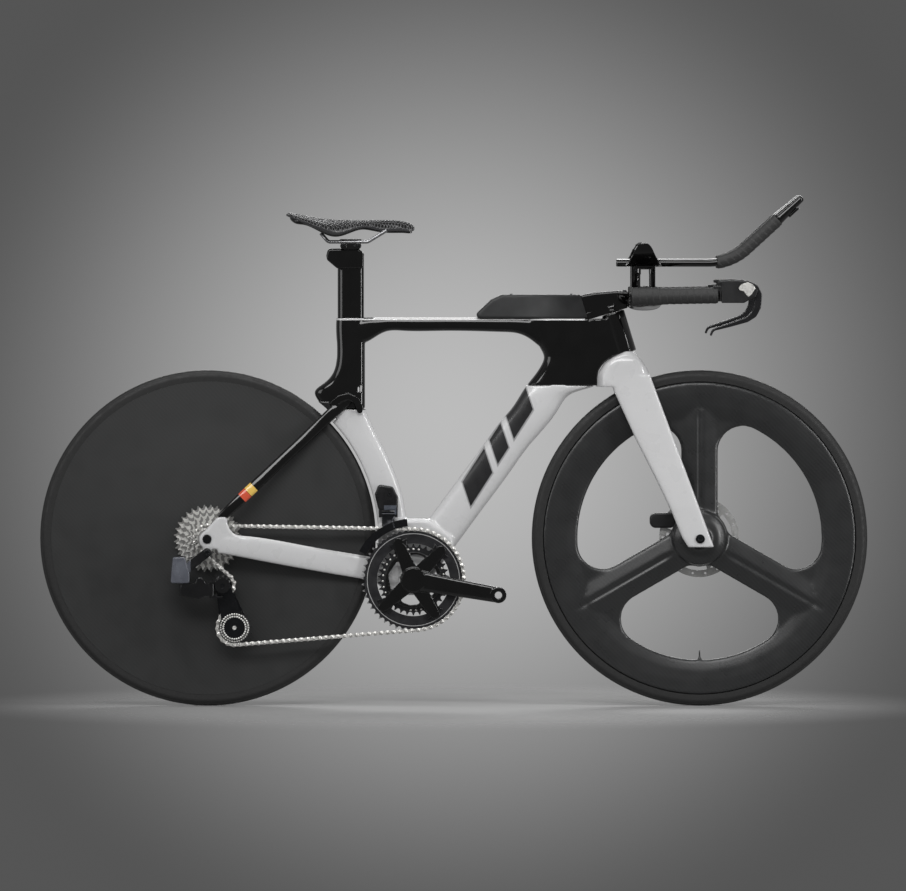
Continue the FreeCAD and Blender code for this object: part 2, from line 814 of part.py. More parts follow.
# along from the axle to the bracket, rise in depths, depth, way from the dropout to the inner offset
CHAINSTAY_SHARES = (
    (0.06, -0.10, 0.80, 0.0), (0.16, -0.02, 0.92, 0.06), (0.30, 0.02, 1.0, 0.30), (0.45, 0.03, 1.0, 0.58),
    (0.60, 0.05, 1.0, 0.85), (0.76, 0.09, 1.0, 1.0), (0.93, 0.1, 0.9, 1.08),
)
# outline of the dropout around the axle: ahead in lengths, up in heights
DROPOUT_SHARES = (
    (-0.27, 0.12), (0.05, 0.55), (0.32, 1.0), (0.66, 1.06), (0.66, 0.60), (0.85, 0.24), (1.10, 0.14),
    (1.10, -0.74), (0.20, -0.44), (-0.24, -0.36),
)
# along from the dropout to the seat tube, way from the dropout to the top offset, depth
SEATSTAY_SHARES = (
    (0.0, 0.0, 0.8), (0.12, 0.05, 1.0), (0.35, 0.38, 1.0), (0.6, 0.76, 1.0), (0.8, 0.98, 1.05), (0.88, 1.02,
                                                                                                 1.1),
    (0.95, 1.15, 1.2), (1.0, 1.24, 1.3),
)
dropout_middle = size.dropout_gap + size.dropout_thickness / 2


def chainstay():
    """Left chainstay with its dropout."""
    run = BRACKET - REAR_AXLE
    across = Vector(-run.z, 0, run.x) / run.Length
    sections = []
    for along, rise, deep, inward in CHAINSTAY_SHARES:
        side = dropout_middle + inward * (size.chainstay_inner_offset - dropout_middle)
        centre = REAR_AXLE + run * along + across * (rise * size.chainstay_depth) + SIDE * side
        half_depth = deep * size.chainstay_depth / 2
        half_width = size.dropout_thickness / 2 if inward == 0 else size.chainstay_width / 2
        sections.append(rounded_section(centre, across, SIDE, half_depth, half_width, TUBE_FULLNESS_SHARE))
    stay = loft(sections).cut(bracket_block).cut(seat_lower)
    return stay.fuse(dropout_plate()).cut(axle_hole(REAR_AXLE))


def dropout_plate():
    """Plate that joins both stays round the axle."""
    corners = [
        at(REAR_AXLE, ahead * size.dropout_length,
           high * size.dropout_height) for ahead, high in DROPOUT_SHARES
    ]
    outer = size.dropout_gap + size.dropout_thickness
    return slab(corners, size.dropout_radius, size.dropout_gap, outer, size.dropout_thickness / 5)


def axle_hole(centre):
    """Clearance hole of a thru axle."""
    reach = size.bar_half_width
    return side_cylinder(centre, size.axle_radius + size.running_clearance, -reach, reach)


def hanger_lug():
    """Lug under the right dropout that carries the rear derailleur."""
    outer = -size.dropout_gap - size.dropout_thickness
    corners = [
        at(REAR_AXLE, -size.hanger_radius, 0), at(REAR_AXLE, size.hanger_radius, 0),
        at(REAR_AXLE, size.hanger_radius, -size.hanger_drop - size.hanger_radius),
        at(REAR_AXLE, -size.hanger_radius, -size.hanger_drop - size.hanger_radius),
    ]
    return slab(corners, size.hanger_radius * 0.8, outer + size.dropout_thickness / 4, -size.dropout_gap)


def ribbon(spots, half_depths):
    """Outline of a bent strip in the side view."""
    upper = []
    lower = []
    for index, spot in enumerate(spots):
        before = spots[max(index - 1, 0)]
        after = spots[min(index + 1, len(spots) - 1)]
        run = after - before
        across = Vector(-run.z, 0, run.x) / run.Length
        upper.append(spot + across * half_depths[index])
        lower.append(spot - across * half_depths[index])
    return upper + lower[::-1]


# arch over the stay's upper end, from the stay's head: ahead, up and half depth in stay depths
ARCH_SHARES = (
    (-1.75, -0.95, 0.36), (-1.0, -0.28, 0.33), (-0.2, -0.05, 0.31), (0.5, -0.4, 0.3), (0.82, -1.05, 0.3),
    (0.84, -1.6, 0.26),
)


def seatstay_arch(head):
    """Bowed strip that wraps the stay's end round to the front of the seat tube."""
    deep = size.seatstay_depth
    spots = [at(head, ahead * deep, high * deep) for ahead, high, _half in ARCH_SHARES]
    outer = size.seatstay_top_offset + size.seatstay_width / 4
    inner = outer - size.seatstay_width
    return slab(ribbon(spots, [half * deep for _ahead, _high, half in ARCH_SHARES]), deep / 2, inner, outer,
                size.seatstay_width / 6)


def seatstay():
    """Left seatstay from its dropout to the side of the seat tube."""
    foot = at(REAR_AXLE, size.dropout_length * 0.42, size.dropout_height * 0.93)
    head = Vector(SEAT_X, 0, TOP_TUBE_Z - size.seat_tube_upper_length * 0.86)
    run = head - foot
    across = Vector(-run.z, 0, run.x) / run.Length
    sections = []
    for along, inward, deep in SEATSTAY_SHARES:
        side = dropout_middle + inward * (size.seatstay_top_offset - dropout_middle)
        centre = foot + run * along + SIDE * side
        half_depth = deep * size.seatstay_depth / 2
        half_width = size.dropout_thickness / 2.5 if along == 0 else size.seatstay_width / 2
        sections.append(rounded_section(centre, across, SIDE, half_depth, half_width, TUBE_FULLNESS_SHARE))
    return loft(sections).fuse(seatstay_arch(head))


left_stay = chainstay()
right_stay = mirrored(left_stay).fuse(hanger_lug()).cut(axle_hole(REAR_AXLE))
keep("chainstays", Part.makeCompound([left_stay, right_stay]))
left_seatstay = seatstay().cut(left_stay).cut(seat_outer).cut(seat_lower)
keep("seatstays", pair(largest_solid(left_seatstay)))

shell_half = size.bracket_shell_width / 2
bracket_bore = side_cylinder(BRACKET, size.spindle_bearing_radius, -size.bar_half_width, size.bar_half_width)
keep("bottom_bracket_shell", bracket_block.cut(bracket_bore))
spindle_ring = ("spindle_radius + running_clearance", "spindle_bearing_radius", "spindle_bearing_width")
group("frame_bearings", headset_rings + [
    ring("bracket_bearing_right", *spindle_ring, at(BRACKET, side=-shell_half)),
    ring("bracket_bearing_left", *spindle_ring, at(BRACKET, side=shell_half - size.spindle_bearing_width)),
])


def thru_axle(label, half_gap, half_span, centre):
    """Thru axle with the hub tube that it clamps between the dropouts, and a head at each end."""
    tube = f"({half_gap}) - running_clearance"
    end = f"({half_span}) + running_clearance"
    corners = [
        ("0", f"-({end}) - axle_head_depth"), ("axle_head_radius", f"-({end}) - axle_head_depth"),
        ("axle_head_radius", f"-({end})"), ("axle_radius", f"-({end})"), ("axle_radius", f"-({tube})"),
        ("hub_axle_radius", f"-({tube})"), ("hub_axle_radius", tube), ("axle_radius", tube),
        ("axle_radius", end), ("axle_head_radius", end),
        ("axle_head_radius", f"{end} + axle_head_depth"), ("0", f"{end} + axle_head_depth"),
    ]
    return keep(label, turned(label, corners, centre, SIDE))


thru_axle("rear_thru_axle", "dropout_gap", "dropout_gap + dropout_thickness", REAR_AXLE)
thru_axle("front_thru_axle", "front_dropout_gap", "front_dropout_gap + blade_thickness", FRONT_AXLE)

# Wheels
hub_ring = ("hub_axle_radius + running_clearance", "bearing_outer_radius", "bearing_width")


def lathe(centre, profile):
    """Solid of revolution about Y through a centre, from corners of radius and offset to the left."""
    corners = [Vector(centre.x + radius, offset, centre.z) for radius, offset in profile]
    return Part.Face(Part.makePolygon(corners + corners[:1])).revolve(centre, SIDE, 360)


def tyre(label, centre):
    """Tyre with upright sidewalls and a round tread."""
    wall = "rim_outer_radius + (tyre_radius - rim_outer_radius) * 0.4"
    corners = [
        ("rim_outer_radius", "-tyre_width / 2 * 0.96"), (wall, "-tyre_width / 2"), ("tyre_radius", "0",
                                                                                    True),
        (wall, "tyre_width / 2"), ("rim_outer_radius", "tyre_width / 2 * 0.96"),
    ]
    return keep(label, turned(label, corners, centre, SIDE))


def rear_disc():
    """Closed disc wheel with the hub moulded in, and the sleeve that carries its rotor."""
    bore = "bearing_outer_radius"
    boss_end = "rear_rotor_offset + rotor_thickness * 2"
    corners = [
        (bore, "-disc_drive_offset"), ("hub_boss_radius", "-disc_drive_offset"),
        ("rim_inner_radius", "-rim_half_width"), ("rim_outer_radius", "-rim_half_width"),
        ("rim_outer_radius", "rim_half_width"), ("rim_inner_radius", "rim_half_width"),
        ("hub_boss_radius", "disc_left_offset"), (bore, "disc_left_offset"),
    ]
    neck = [
        (bore, "disc_left_offset"), ("rotor_boss_radius", "disc_left_offset"),
        ("rotor_boss_radius", boss_end), (bore, boss_end),
    ]
    disc = turned("rear_disc", corners, REAR_AXLE, SIDE)
    return group("rear_disc_wheel", [disc, turned("rear_hub_sleeve", neck, REAR_AXLE, SIDE)])


def rotor(label, centre, offset):
    """Brake rotor: a braking band on slanted arms, with vent slots."""
    left = offset
    right = offset + size.rotor_thickness
    inner = size.rotor_radius - size.rotor_brake_depth
    band = lathe(centre,
                 [(inner, left), (size.rotor_radius, left), (size.rotor_radius, right), (inner, right)])
    bore = size.rotor_boss_radius + size.running_clearance
    hub = size.rotor_carrier_radius
    carrier = lathe(centre, [(bore, left), (hub + size.rotor_arm_width, left),
                             (hub + size.rotor_arm_width, right), (bore, right)])
    solid = band.fuse(carrier)
    arms = 6
    half = size.rotor_arm_width / 2
    for arm in range(arms):
        start = Vector(centre.x + hub, left, centre.z - half)
        bar = Part.makeBox(inner - hub + half, right - left, size.rotor_arm_width, start)
        bar.rotate(Vector(centre.x + hub, 0, centre.z), SIDE, 20)
        bar.rotate(centre, SIDE, arm * 360 / arms)
        solid = solid.fuse(bar)
    slots = 18
    middle = size.rotor_radius - size.rotor_brake_depth / 2
    for slot in range(slots):
        hole = side_cylinder(at(centre, middle), size.rotor_brake_depth / 6, left - half, right + half)
        hole.rotate(centre, SIDE, slot * 360 / slots)
        solid = solid.cut(hole)
    return keep(label, solid.removeSplitter())


def spoke_point(along, across, angle):
    """A point of the front wheel given along a spoke and across it."""
    turn = math.radians(angle)
    ahead = along * math.cos(turn) - across * math.sin(turn)
    return at(FRONT_AXLE, ahead, along * math.sin(turn) + across * math.cos(turn))


def wheel_window(angle):
    """The opening between two spokes: straight flanks, an outer arc, a hub arc and filleted corners."""
    flank = size.spoke_half_width
    outer = size.rim_inner_radius
    inner = size.window_hub_radius
    big = size.window_outer_fillet
    small = size.window_hub_fillet
    far = math.sqrt((outer - big) ** 2 - (flank + big) ** 2)
    near = math.sqrt((inner + small) ** 2 - (flank + small) ** 2)
    far_turn = math.degrees(math.atan2(flank + big, far))
    near_turn = math.degrees(math.atan2(flank + small, near))
    pitch = 120
    first, second = angle, angle + pitch
    middle = angle + pitch / 2

    def on_circle(radius, turn):
        return spoke_point(radius, 0, turn)

    def corner(start, turn, along, side, fillet, end):
        centre = spoke_point(along, side * (flank + fillet), turn)
        chord = (start + end) * 0.5 - centre
        chord.normalize()
        return Part.Arc(start, centre + chord * fillet, end).toShape()

    flank_near = spoke_point(near, flank, first)
    flank_far = spoke_point(far, flank, first)
    outer_first = on_circle(outer, first + far_turn)
    outer_second = on_circle(outer, second - far_turn)
    other_far = spoke_point(far, -flank, second)
    other_near = spoke_point(near, -flank, second)
    hub_second = on_circle(inner, second - near_turn)
    hub_first = on_circle(inner, first + near_turn)
    edges = [
        Part.LineSegment(flank_near, flank_far).toShape(),
        corner(flank_far, first, far, 1, big, outer_first),
        Part.Arc(outer_first, on_circle(outer, middle), outer_second).toShape(),
        corner(outer_second, second, far, -1, big, other_far),
        Part.LineSegment(other_far, other_near).toShape(),
        corner(other_near, second, near, -1, small, hub_second),
        Part.Arc(hub_second, on_circle(inner, middle), hub_first).toShape(),
        corner(hub_first, first, near, 1, small, flank_near),
    ]
    reach = size.spoke_half_thickness * 4
    face = Part.Face(Part.Wire(edges))
    face.translate(SIDE * -reach)
    return face.extrude(SIDE * (2 * reach))


def spoke_ridge(angle):
    """A spoke blank with a raised ridge along its middle and thin flanks."""
    wide = size.spoke_half_width * 3.2
    thick = size.spoke_half_thickness
    thin = size.spoke_edge_half_thickness
    flank = size.spoke_half_width
    profile = [(-wide, thin), (-flank, thin), (0, thick), (flank, thin), (wide, thin)]
    profile = profile + [(across, -offset) for across, offset in reversed(profile)]
    start = size.hub_boss_radius / 2
    corners = [spoke_point(start, across, angle) + SIDE * offset for across, offset in profile]
    face = Part.Face(Part.makePolygon(corners + corners[:1]))
    end = (size.rim_inner_radius + size.rim_outer_radius) / 2
    return face.extrude(spoke_point(end, 0, angle) - spoke_point(start, 0, angle))


def front_wheel():
    """Three-spoke wheel: deep rim, ridged spokes and the hub, in one moulding, and its valve."""
    half = size.rim_half_width
    edge = size.rim_inner_half_width
    inner = size.rim_inner_radius
    outer = size.rim_outer_radius
    deep = outer - inner
    rim = lathe(FRONT_AXLE, [
        (inner, -edge), (inner + deep * 0.3, -half * 0.8), (inner + deep * 0.65, -half), (outer, -half),
        (outer, half), (inner + deep * 0.65, half), (inner + deep * 0.3, half * 0.8), (inner, edge),
    ])
    blank = None
    limit = side_cylinder(FRONT_AXLE, inner + deep * 0.2, -half * 4, half * 4)
    for angle in SPOKE_ANGLES:
        spoke = spoke_ridge(angle).common(limit)
        blank = spoke if blank is None else blank.fuse(spoke)
    for angle in SPOKE_ANGLES:
        blank = blank.cut(wheel_window(angle))
    bore = size.bearing_outer_radius
    neck = size.rotor_boss_radius
    flange = size.hub_flange_radius
    boss = size.hub_boss_radius
    end = size.front_hub_half_width - size.moving_gap
    hub = lathe(FRONT_AXLE, [
        (bore, -end), (neck * 0.8, -end), (neck, -half * 2.2), (boss, -half * 2),
        (flange, -half * 1.3), (flange, half * 1.3),
        (boss, half * 2), (neck, half * 2.2), (bore, half * 2.2),
    ])
    sleeve = lathe(FRONT_AXLE, [(bore, half * 2.2), (neck, half * 2.2), (neck, end), (bore, end)])
    tunnel = side_cylinder(FRONT_AXLE, bore, -end * 2, end * 2)
    wheel = rim.fuse(blank).fuse(hub).cut(tunnel)
    foot = at(FRONT_AXLE, rise=-inner - edge)
    valve = Part.makeCylinder(size.valve_radius, size.valve_length, foot, UP)
    return keep("front_wheel", Part.makeCompound([wheel.fuse(valve), sleeve]))


tyre("rear_tyre", REAR_AXLE)
tyre("front_tyre", FRONT_AXLE)
rear_disc()
front_wheel()
rotor("rear_rotor", REAR_AXLE, size.rear_rotor_offset)
rotor("front_rotor", FRONT_AXLE, size.front_rotor_offset)
rear_boss_end = size.rear_rotor_offset + size.rotor_thickness * 2
group("rear_hub_bearings", [
    ring("rear_bearing_right", *hub_ring, at(REAR_AXLE, side=-size.disc_drive_offset)),
    ring("rear_bearing_left", *hub_ring, at(REAR_AXLE, side=rear_boss_end - size.bearing_width)),
])
front_boss_end = size.front_hub_half_width - size.moving_gap
group("front_hub_bearings", [
    ring("front_bearing_right", *hub_ring, at(FRONT_AXLE, side=-front_boss_end)),
    ring("front_bearing_left", *hub_ring, at(FRONT_AXLE, side=front_boss_end - size.bearing_width)),
])


# Drivetrain
SPROCKET_PLANE = -size.first_sprocket_offset - ENGAGED_SPROCKET * size.sprocket_pitch
RING_PLANE = -size.chainring_offset
GUIDE_PULLEY = at(REAR_AXLE, size.guide_pulley_ahead, -size.guide_pulley_drop)
TENSION_PULLEY = at(REAR_AXLE, size.tension_pulley_ahead, -size.tension_pulley_drop)


def pitch_radius(teeth):
    """Radius of the circle through the roller centres."""
    return size.chain_pitch / (2 * math.sin(math.pi / teeth))


def polar(centre, radius, degrees, side=0.0):
    """A point on a circle in the side view."""
    turn = math.radians(degrees)
    return Vector(centre.x + radius * math.cos(turn), side, centre.z + radius * math.sin(turn))


def toothed_disc(centre, teeth, phase, bore, middle, thickness):
    """Toothed plate with one roller seat per tooth gap; a roller lies at the phase angle."""
    radius = pitch_radius(teeth)
    seat = size.roller_radius + size.roller_seat_clearance
    step = 360 / teeth
    side = middle - thickness / 2
    tip = math.degrees(size.tooth_height * 0.3 / radius)
    edges = []
    for gap in range(teeth):
        facing = phase + gap * step
        roller = polar(centre, radius, facing, side)
        start = polar(roller, seat, facing + 180 + 62, side)
        bottom = polar(roller, seat, facing + 180, side)
        end = polar(roller, seat, facing + 180 - 62, side)
        top_first = polar(centre, radius + size.tooth_height, facing + step / 2 - tip, side)
        top_second = polar(centre, radius + size.tooth_height, facing + step / 2 + tip, side)
        following = polar(centre, radius, facing + step, side)
        next_start = polar(following, seat, facing + step + 180 + 62, side)
        edges.append(Part.Arc(start, bottom, end).toShape())
        edges.append(Part.LineSegment(end, top_first).toShape())
        edges.append(Part.LineSegment(top_first, top_second).toShape())
        edges.append(Part.LineSegment(top_second, next_start).toShape())
    outline = Part.Wire(edges)
    hole = Part.Wire([Part.makeCircle(bore, Vector(centre.x, side, centre.z), SIDE)])
    plate = Part.Face(outline).cut(Part.Face(hole))
    return plate.extrude(SIDE * thickness)


def chain_route():
    """Wheels in the order that the chain meets them: centre, teeth, turning sense and plane."""
    return [
        (BRACKET, OUTER_RING_TEETH, 1, RING_PLANE),
        (TENSION_PULLEY, TENSION_PULLEY_TEETH, 1, SPROCKET_PLANE),
        (GUIDE_PULLEY, GUIDE_PULLEY_TEETH, -1, SPROCKET_PLANE),
        (REAR_AXLE, SPROCKET_TEETH[ENGAGED_SPROCKET], 1, SPROCKET_PLANE),
    ]


def leave_angles():
    """Angle on each wheel where the chain leaves it, and the angle where it meets the next one."""
    route = chain_route()
    angles = []
    for index, (centre, teeth, sense, _plane) in enumerate(route):
        other, other_teeth, other_sense, _other_plane = route[(index + 1) % len(route)]
        span = other - centre
        bearing = math.atan2(span.z, span.x)
        offset = sense * pitch_radius(teeth) - other_sense * pitch_radius(other_teeth)
        heading = math.degrees(bearing - math.asin(offset / span.Length))
        angles.append((heading + 90 * sense, heading + 90 * other_sense))
    return angles


def seated_rollers():
    """Roller angles on each wheel, one tooth apart and centred on the wrapped arc."""
    route = chain_route()
    angles = leave_angles()
    seated = []
    for index, (_centre, teeth, sense, _plane) in enumerate(route):
        meets = angles[index - 1][1]
        leaves = angles[index][0]
        wrap = (sense * (meets - leaves)) % 360
        step = 360 / teeth
        count = int(wrap // step)
        spare = (wrap - count * step) / 2
        seated.append([meets - sense * (spare + turn * step) for turn in range(count + 1)])
    return seated


def roller_centres():
    """Centres of all rollers round the loop, an even count, with the planes joined smoothly."""
    route = chain_route()
    seated = seated_rollers()
    stops = []
    for (centre, teeth, _sense, plane), turns in zip(route, seated):
        stops.append([polar(centre, pitch_radius(teeth), turn, plane) for turn in turns])
    counts = []
    for index, rollers in enumerate(stops):
        gap = stops[(index + 1) % len(stops)][0] - rollers[-1]
        counts.append(max(1, round(gap.Length / size.chain_pitch)))
    if (sum(counts) + sum(len(rollers) - 1 for rollers in stops)) % 2:
        counts[0] += 1
    centres = []
    for index, rollers in enumerate(stops):
        centres.extend(rollers)
        start = rollers[-1]
        gap = stops[(index + 1) % len(stops)][0] - start
        for link in range(1, counts[index]):
            share = link / counts[index]
            ease = share * share * (3 - 2 * share)
            centres.append(Vector(start.x + gap.x * share, start.y + gap.y * ease, start.z + gap.z * share))
    return centres


def chain_plate(length, middle):
    """Waisted side plate between two pin centres, lying in the side view."""
    round_end = size.chain_plate_radius
    lean = math.radians(58)
    reach = round_end * math.cos(lean)
    high = round_end * math.sin(lean)
    side = middle - size.chain_plate_thickness / 2
    waist = size.chain_plate_waist
    edges = [
        Part.Arc(Vector(reach, side, high), Vector(-round_end, side, 0),
                 Vector(reach, side, -high)).toShape(),
        Part.Arc(Vector(reach, side, -high), Vector(length / 2, side, -waist),
                 Vector(length - reach, side, -high)).toShape(),
        Part.Arc(Vector(length - reach, side, -high), Vector(length + round_end, side, 0),
                 Vector(length - reach, side, high)).toShape(),
        Part.Arc(Vector(length - reach, side, high), Vector(length / 2, side, waist),
                 Vector(reach, side, high)).toShape(),
    ]
    return Part.Face(Part.Wire(edges)).extrude(SIDE * size.chain_plate_thickness)


PIN_HEAD_SHARE = 0.55


def chain_link(length, inner):
    """Inner link with its two rollers, or outer link with its two pins."""
    half_gap = size.chain_inner_gap / 2
    thick = size.chain_plate_thickness
    ends = (Vector(0, 0, 0), Vector(length, 0, 0))
    if inner:
        offset = half_gap + thick / 2
        solids = [side_cylinder(end, size.roller_radius, -half_gap, half_gap) for end in ends]
    else:
        offset = half_gap + thick * 1.5 + size.chain_plate_clearance
        reach = offset + thick * PIN_HEAD_SHARE
        solids = [side_cylinder(end, size.chain_pin_radius, -reach, reach) for end in ends]
    link = chain_plate(length, offset).fuse([chain_plate(length, -offset)] + solids)
    if inner:
        bore = size.chain_pin_radius + size.chain_pin_clearance
        for end in ends:
            link = link.cut(side_cylinder(end, bore, -offset * 2, offset * 2))
    return link.removeSplitter()


def chain():
    """The closed loop of alternating inner and outer links."""
    centres = roller_centres()
    made = {}
    links = []
    for index, start in enumerate(centres):
        along = centres[(index + 1) % len(centres)] - start
        inner = index % 2 == 0
        key = (round(along.Length, 3), inner)
        if key not in made:
            made[key] = chain_link(along.Length, inner)
        link = made[key].copy()
        rise = along.cross(SIDE)
        rise.normalize()
        turn = FreeCAD.Rotation(along, rise.cross(along), rise, "XZY")
        link.Placement = FreeCAD.Placement(start, turn)
        links.append(link)
    print("chain links", len(links))
    return Part.makeCompound(links)


keep("chain", chain())
ROLLER_PHASES = [turns[0] for turns in seated_rollers()]


def tapered_bar(first, first_radius, second, second_radius, left, right):
    """A bar with round ends of two sizes, in the side view."""
    span = second - first
    bearing = math.degrees(math.atan2(span.z, span.x))
    lean = math.degrees(math.acos((first_radius - second_radius) / math.hypot(span.x, span.z)))
    spots = []
    for centre, radius, middle in ((first, first_radius, bearing + 180), (second, second_radius, bearing)):
        spots.append([polar(centre, radius, turn, left) for turn in (bearing + lean, middle,
                                                                     bearing - lean)])
    edges = [
        Part.Arc(*spots[0]).toShape(), Part.LineSegment(spots[0][2], spots[1][2]).toShape(),
        Part.Arc(spots[1][2], spots[1][1], spots[1][0]).toShape(),
        Part.LineSegment(spots[1][0], spots[0][0]).toShape(),
    ]
    return Part.Face(Part.Wire(edges)).extrude(SIDE * (right - left))


# along the crank arm, half height in end radii, way of the flare
CRANK_SHARES = ((0.0, 1.3, 0.0), (0.2, 1.2, 0.1), (0.45, 1.12, 0.5), (0.75, 1.04, 0.9), (1.0, 0.98, 1.0))


def crank_arm():
    """Left crank arm, pointing ahead and down as the right one does."""
    end = polar(BRACKET, size.crank_length, CRANK_ANGLE)
    run = end - BRACKET
    across = Vector(-run.z, 0, run.x) / run.Length
    sections = []
    for along, high, flare in CRANK_SHARES:
        side = size.crank_inner_offset + size.crank_thickness / 2 + flare * size.crank_flare
        centre = BRACKET + run * along + SIDE * side
        sections.append(rounded_section(
            centre, across, SIDE, high * size.crank_end_radius, size.crank_thickness / 2,
            HEAD_BLOCK_FULLNESS_SHARE))
    inner = size.crank_inner_offset
    tip = inner + size.crank_flare
    step = size.crank_boss_step
    hub = side_cylinder(BRACKET, size.crank_hub_radius, inner - step, inner + size.crank_thickness + step)
    boss = side_cylinder(end, size.crank_end_radius, tip - step, tip + size.crank_thickness + step)
    arm = loft(sections).fuse([hub, boss])
    return arm.cut(side_cylinder(end, size.pedal_thread_radius, 0, size.bar_half_width)).removeSplitter()


SPIDER_ARM_SPREAD = 13.0


def spider_window(first, second):
    """Rounded window of the spider between two arms, wider than the plate."""
    start = first + SPIDER_ARM_SPREAD
    middle = (first + second) / 2
    stop = second - SPIDER_ARM_SPREAD
    low = size.spider_window_inner
    high = size.spider_window_outer
    corners = [polar(BRACKET, low, start), polar(BRACKET, high, start), polar(BRACKET, high, middle),
               polar(BRACKET, high, stop), polar(BRACKET, low, stop), polar(BRACKET, low, middle)]
    reach = size.crank_inner_offset + size.crank_thickness
    return slab(corners, (high - low) / 2, -reach, 0)


def spider():
    """Four-arm spider with a web round its windows, and the posts that carry the inner ring."""
    outer = -size.crank_inner_offset - size.spider_thickness
    ring_face = RING_PLANE - size.chainring_thickness / 2
    small_face = RING_PLANE + size.chainring_spacing - size.chainring_thickness / 2
    post_radius = inner_ring_bore() + size.spider_tip_width / 3
    solid = side_cylinder(BRACKET, size.spider_web_radius, outer + size.spider_thickness / 3, ring_face)
    for first, second in zip(SPIDER_ANGLES, SPIDER_ANGLES[1:] + (SPIDER_ANGLES[0] + 360,)):
        solid = solid.cut(spider_window(first, second))
    for angle in SPIDER_ANGLES:
        tip = polar(BRACKET, size.spider_radius - size.spider_tip_width / 2, angle)
        arm = tapered_bar(BRACKET, size.spider_arm_width / 2, tip, size.spider_tip_width / 2, outer,
                          ring_face)
        post = side_cylinder(polar(BRACKET, post_radius, angle), size.spider_tip_width / 3, outer,
                             small_face)
        solid = solid.fuse([arm, post])
    return solid.fuse(side_cylinder(BRACKET, size.crank_hub_radius, outer, ring_face))


def spindle():
    """Spindle between both arms."""
    reach = size.crank_inner_offset + size.crank_thickness
    return side_cylinder(BRACKET, size.spindle_radius, -reach, reach)


def spindle_bore():
    """Bore in which an arm holds the spindle."""
    reach = size.crank_inner_offset + size.crank_thickness
    return side_cylinder(BRACKET, size.spindle_radius + size.running_clearance, -reach, reach)


def right_crank():
    """Right arm with the spider, bored for the spindle."""
    return mirrored(crank_arm()).fuse(spider()).cut(spindle_bore()).removeSplitter()


def inner_ring_bore():
    """Bore of the inner chainring."""
    return pitch_radius(INNER_RING_TEETH) - size.chainring_band


def left_crank():
    """Left arm, turned half round from the right one and bored for the spindle."""
    arm = crank_arm()
    arm.rotate(BRACKET, SIDE, 180)
    return arm.cut(spindle_bore())


keep("crank_arms", Part.makeCompound([right_crank(), left_crank(), spindle()]))
outer_bore = pitch_radius(OUTER_RING_TEETH) - size.chainring_band * 1.9
outer_ring = toothed_disc(
    BRACKET, OUTER_RING_TEETH, ROLLER_PHASES[0], outer_bore, RING_PLANE, size.chainring_thickness)
inner_ring = toothed_disc(
    BRACKET, INNER_RING_TEETH, 0, inner_ring_bore(), RING_PLANE + size.chainring_spacing,
    size.chainring_thickness)
keep("chainrings", Part.makeCompound([outer_ring, inner_ring]))


SPROCKET_HOLES = 9
SPROCKET_HOLE_SHARE = 0.125


def cassette():
    """Twelve sprockets with their spacer bosses, and the lockring."""
    bore = size.freehub_radius + size.running_clearance
    solids = []
    for order, teeth in enumerate(SPROCKET_TEETH):
        middle = -size.first_sprocket_offset - order * size.sprocket_pitch
        phase = ROLLER_PHASES[3] if order == ENGAGED_SPROCKET else order * 3
        plate = toothed_disc(REAR_AXLE, teeth, phase, bore, middle, size.sprocket_thickness)
        outside = middle - size.sprocket_thickness / 2
        if order + 1 < len(SPROCKET_TEETH):
            end = outside - size.sprocket_pitch + size.sprocket_thickness
            boss = lathe(REAR_AXLE, [(bore, outside), (size.lockring_radius, outside),
                                     (size.lockring_radius, end), (bore, end)])
            plate = plate.fuse(boss)
            inner = size.lockring_radius + size.roller_radius / 2
            rim = pitch_radius(teeth) - size.sprocket_band
            if rim - inner > size.sprocket_band / 2:
                for hole in range(SPROCKET_HOLES):
                    spot = polar(REAR_AXLE, (rim + inner) / 2, hole * 360 / SPROCKET_HOLES + order * 7)
                    reach = min((rim - inner) / 2.3, (rim + inner) * SPROCKET_HOLE_SHARE)
                    plate = plate.cut(side_cylinder(spot, reach, middle - reach, middle + reach))
        solids.append(plate.removeSplitter())
    last = -size.first_sprocket_offset - (len(SPROCKET_TEETH) - 1) * size.sprocket_pitch
    outside = last - size.sprocket_thickness / 2
    end = outside - size.lockring_thickness
    solids.append(lathe(REAR_AXLE, [(bore, outside), (size.lockring_radius, outside),
                                    (size.lockring_radius, end), (bore, end)]))
    return Part.makeCompound(solids)


keep("cassette", cassette())
freehub_end = "first_sprocket_offset + %d * sprocket_pitch + sprocket_thickness / 2 + lockring_thickness" % (
    len(SPROCKET_TEETH) - 1)
freehub_start = "disc_drive_offset + moving_gap / 2"
freehub = turned("freehub_body", [
    ("hub_axle_radius + running_clearance", f"-({freehub_end})"), ("freehub_radius", f"-({freehub_end})"),
    ("freehub_radius", f"-({freehub_start})"), ("hub_axle_radius + running_clearance",
                                                f"-({freehub_start})"),
], REAR_AXLE, SIDE)
keep("freehub_body", freehub)


# Rear derailleur
LINK_FOOT = at(GUIDE_PULLEY, -size.derailleur_link_length - size.knuckle_radius * 1.4)
LINK_PLANES = (-size.derailleur_body_offset - size.derailleur_link_spacing / 2,
               -size.derailleur_body_offset + size.derailleur_link_spacing / 2)
link_low = GUIDE_PULLEY.z - size.derailleur_link_height * 0.85
link_high = link_low + size.derailleur_link_height
HANGER = at(REAR_AXLE, rise=-size.hanger_drop)


def upright(spot_x, side, radius, low, high):
    """An upright cylinder."""
    return Part.makeCylinder(radius, high - low, Vector(spot_x, side, low), UP)


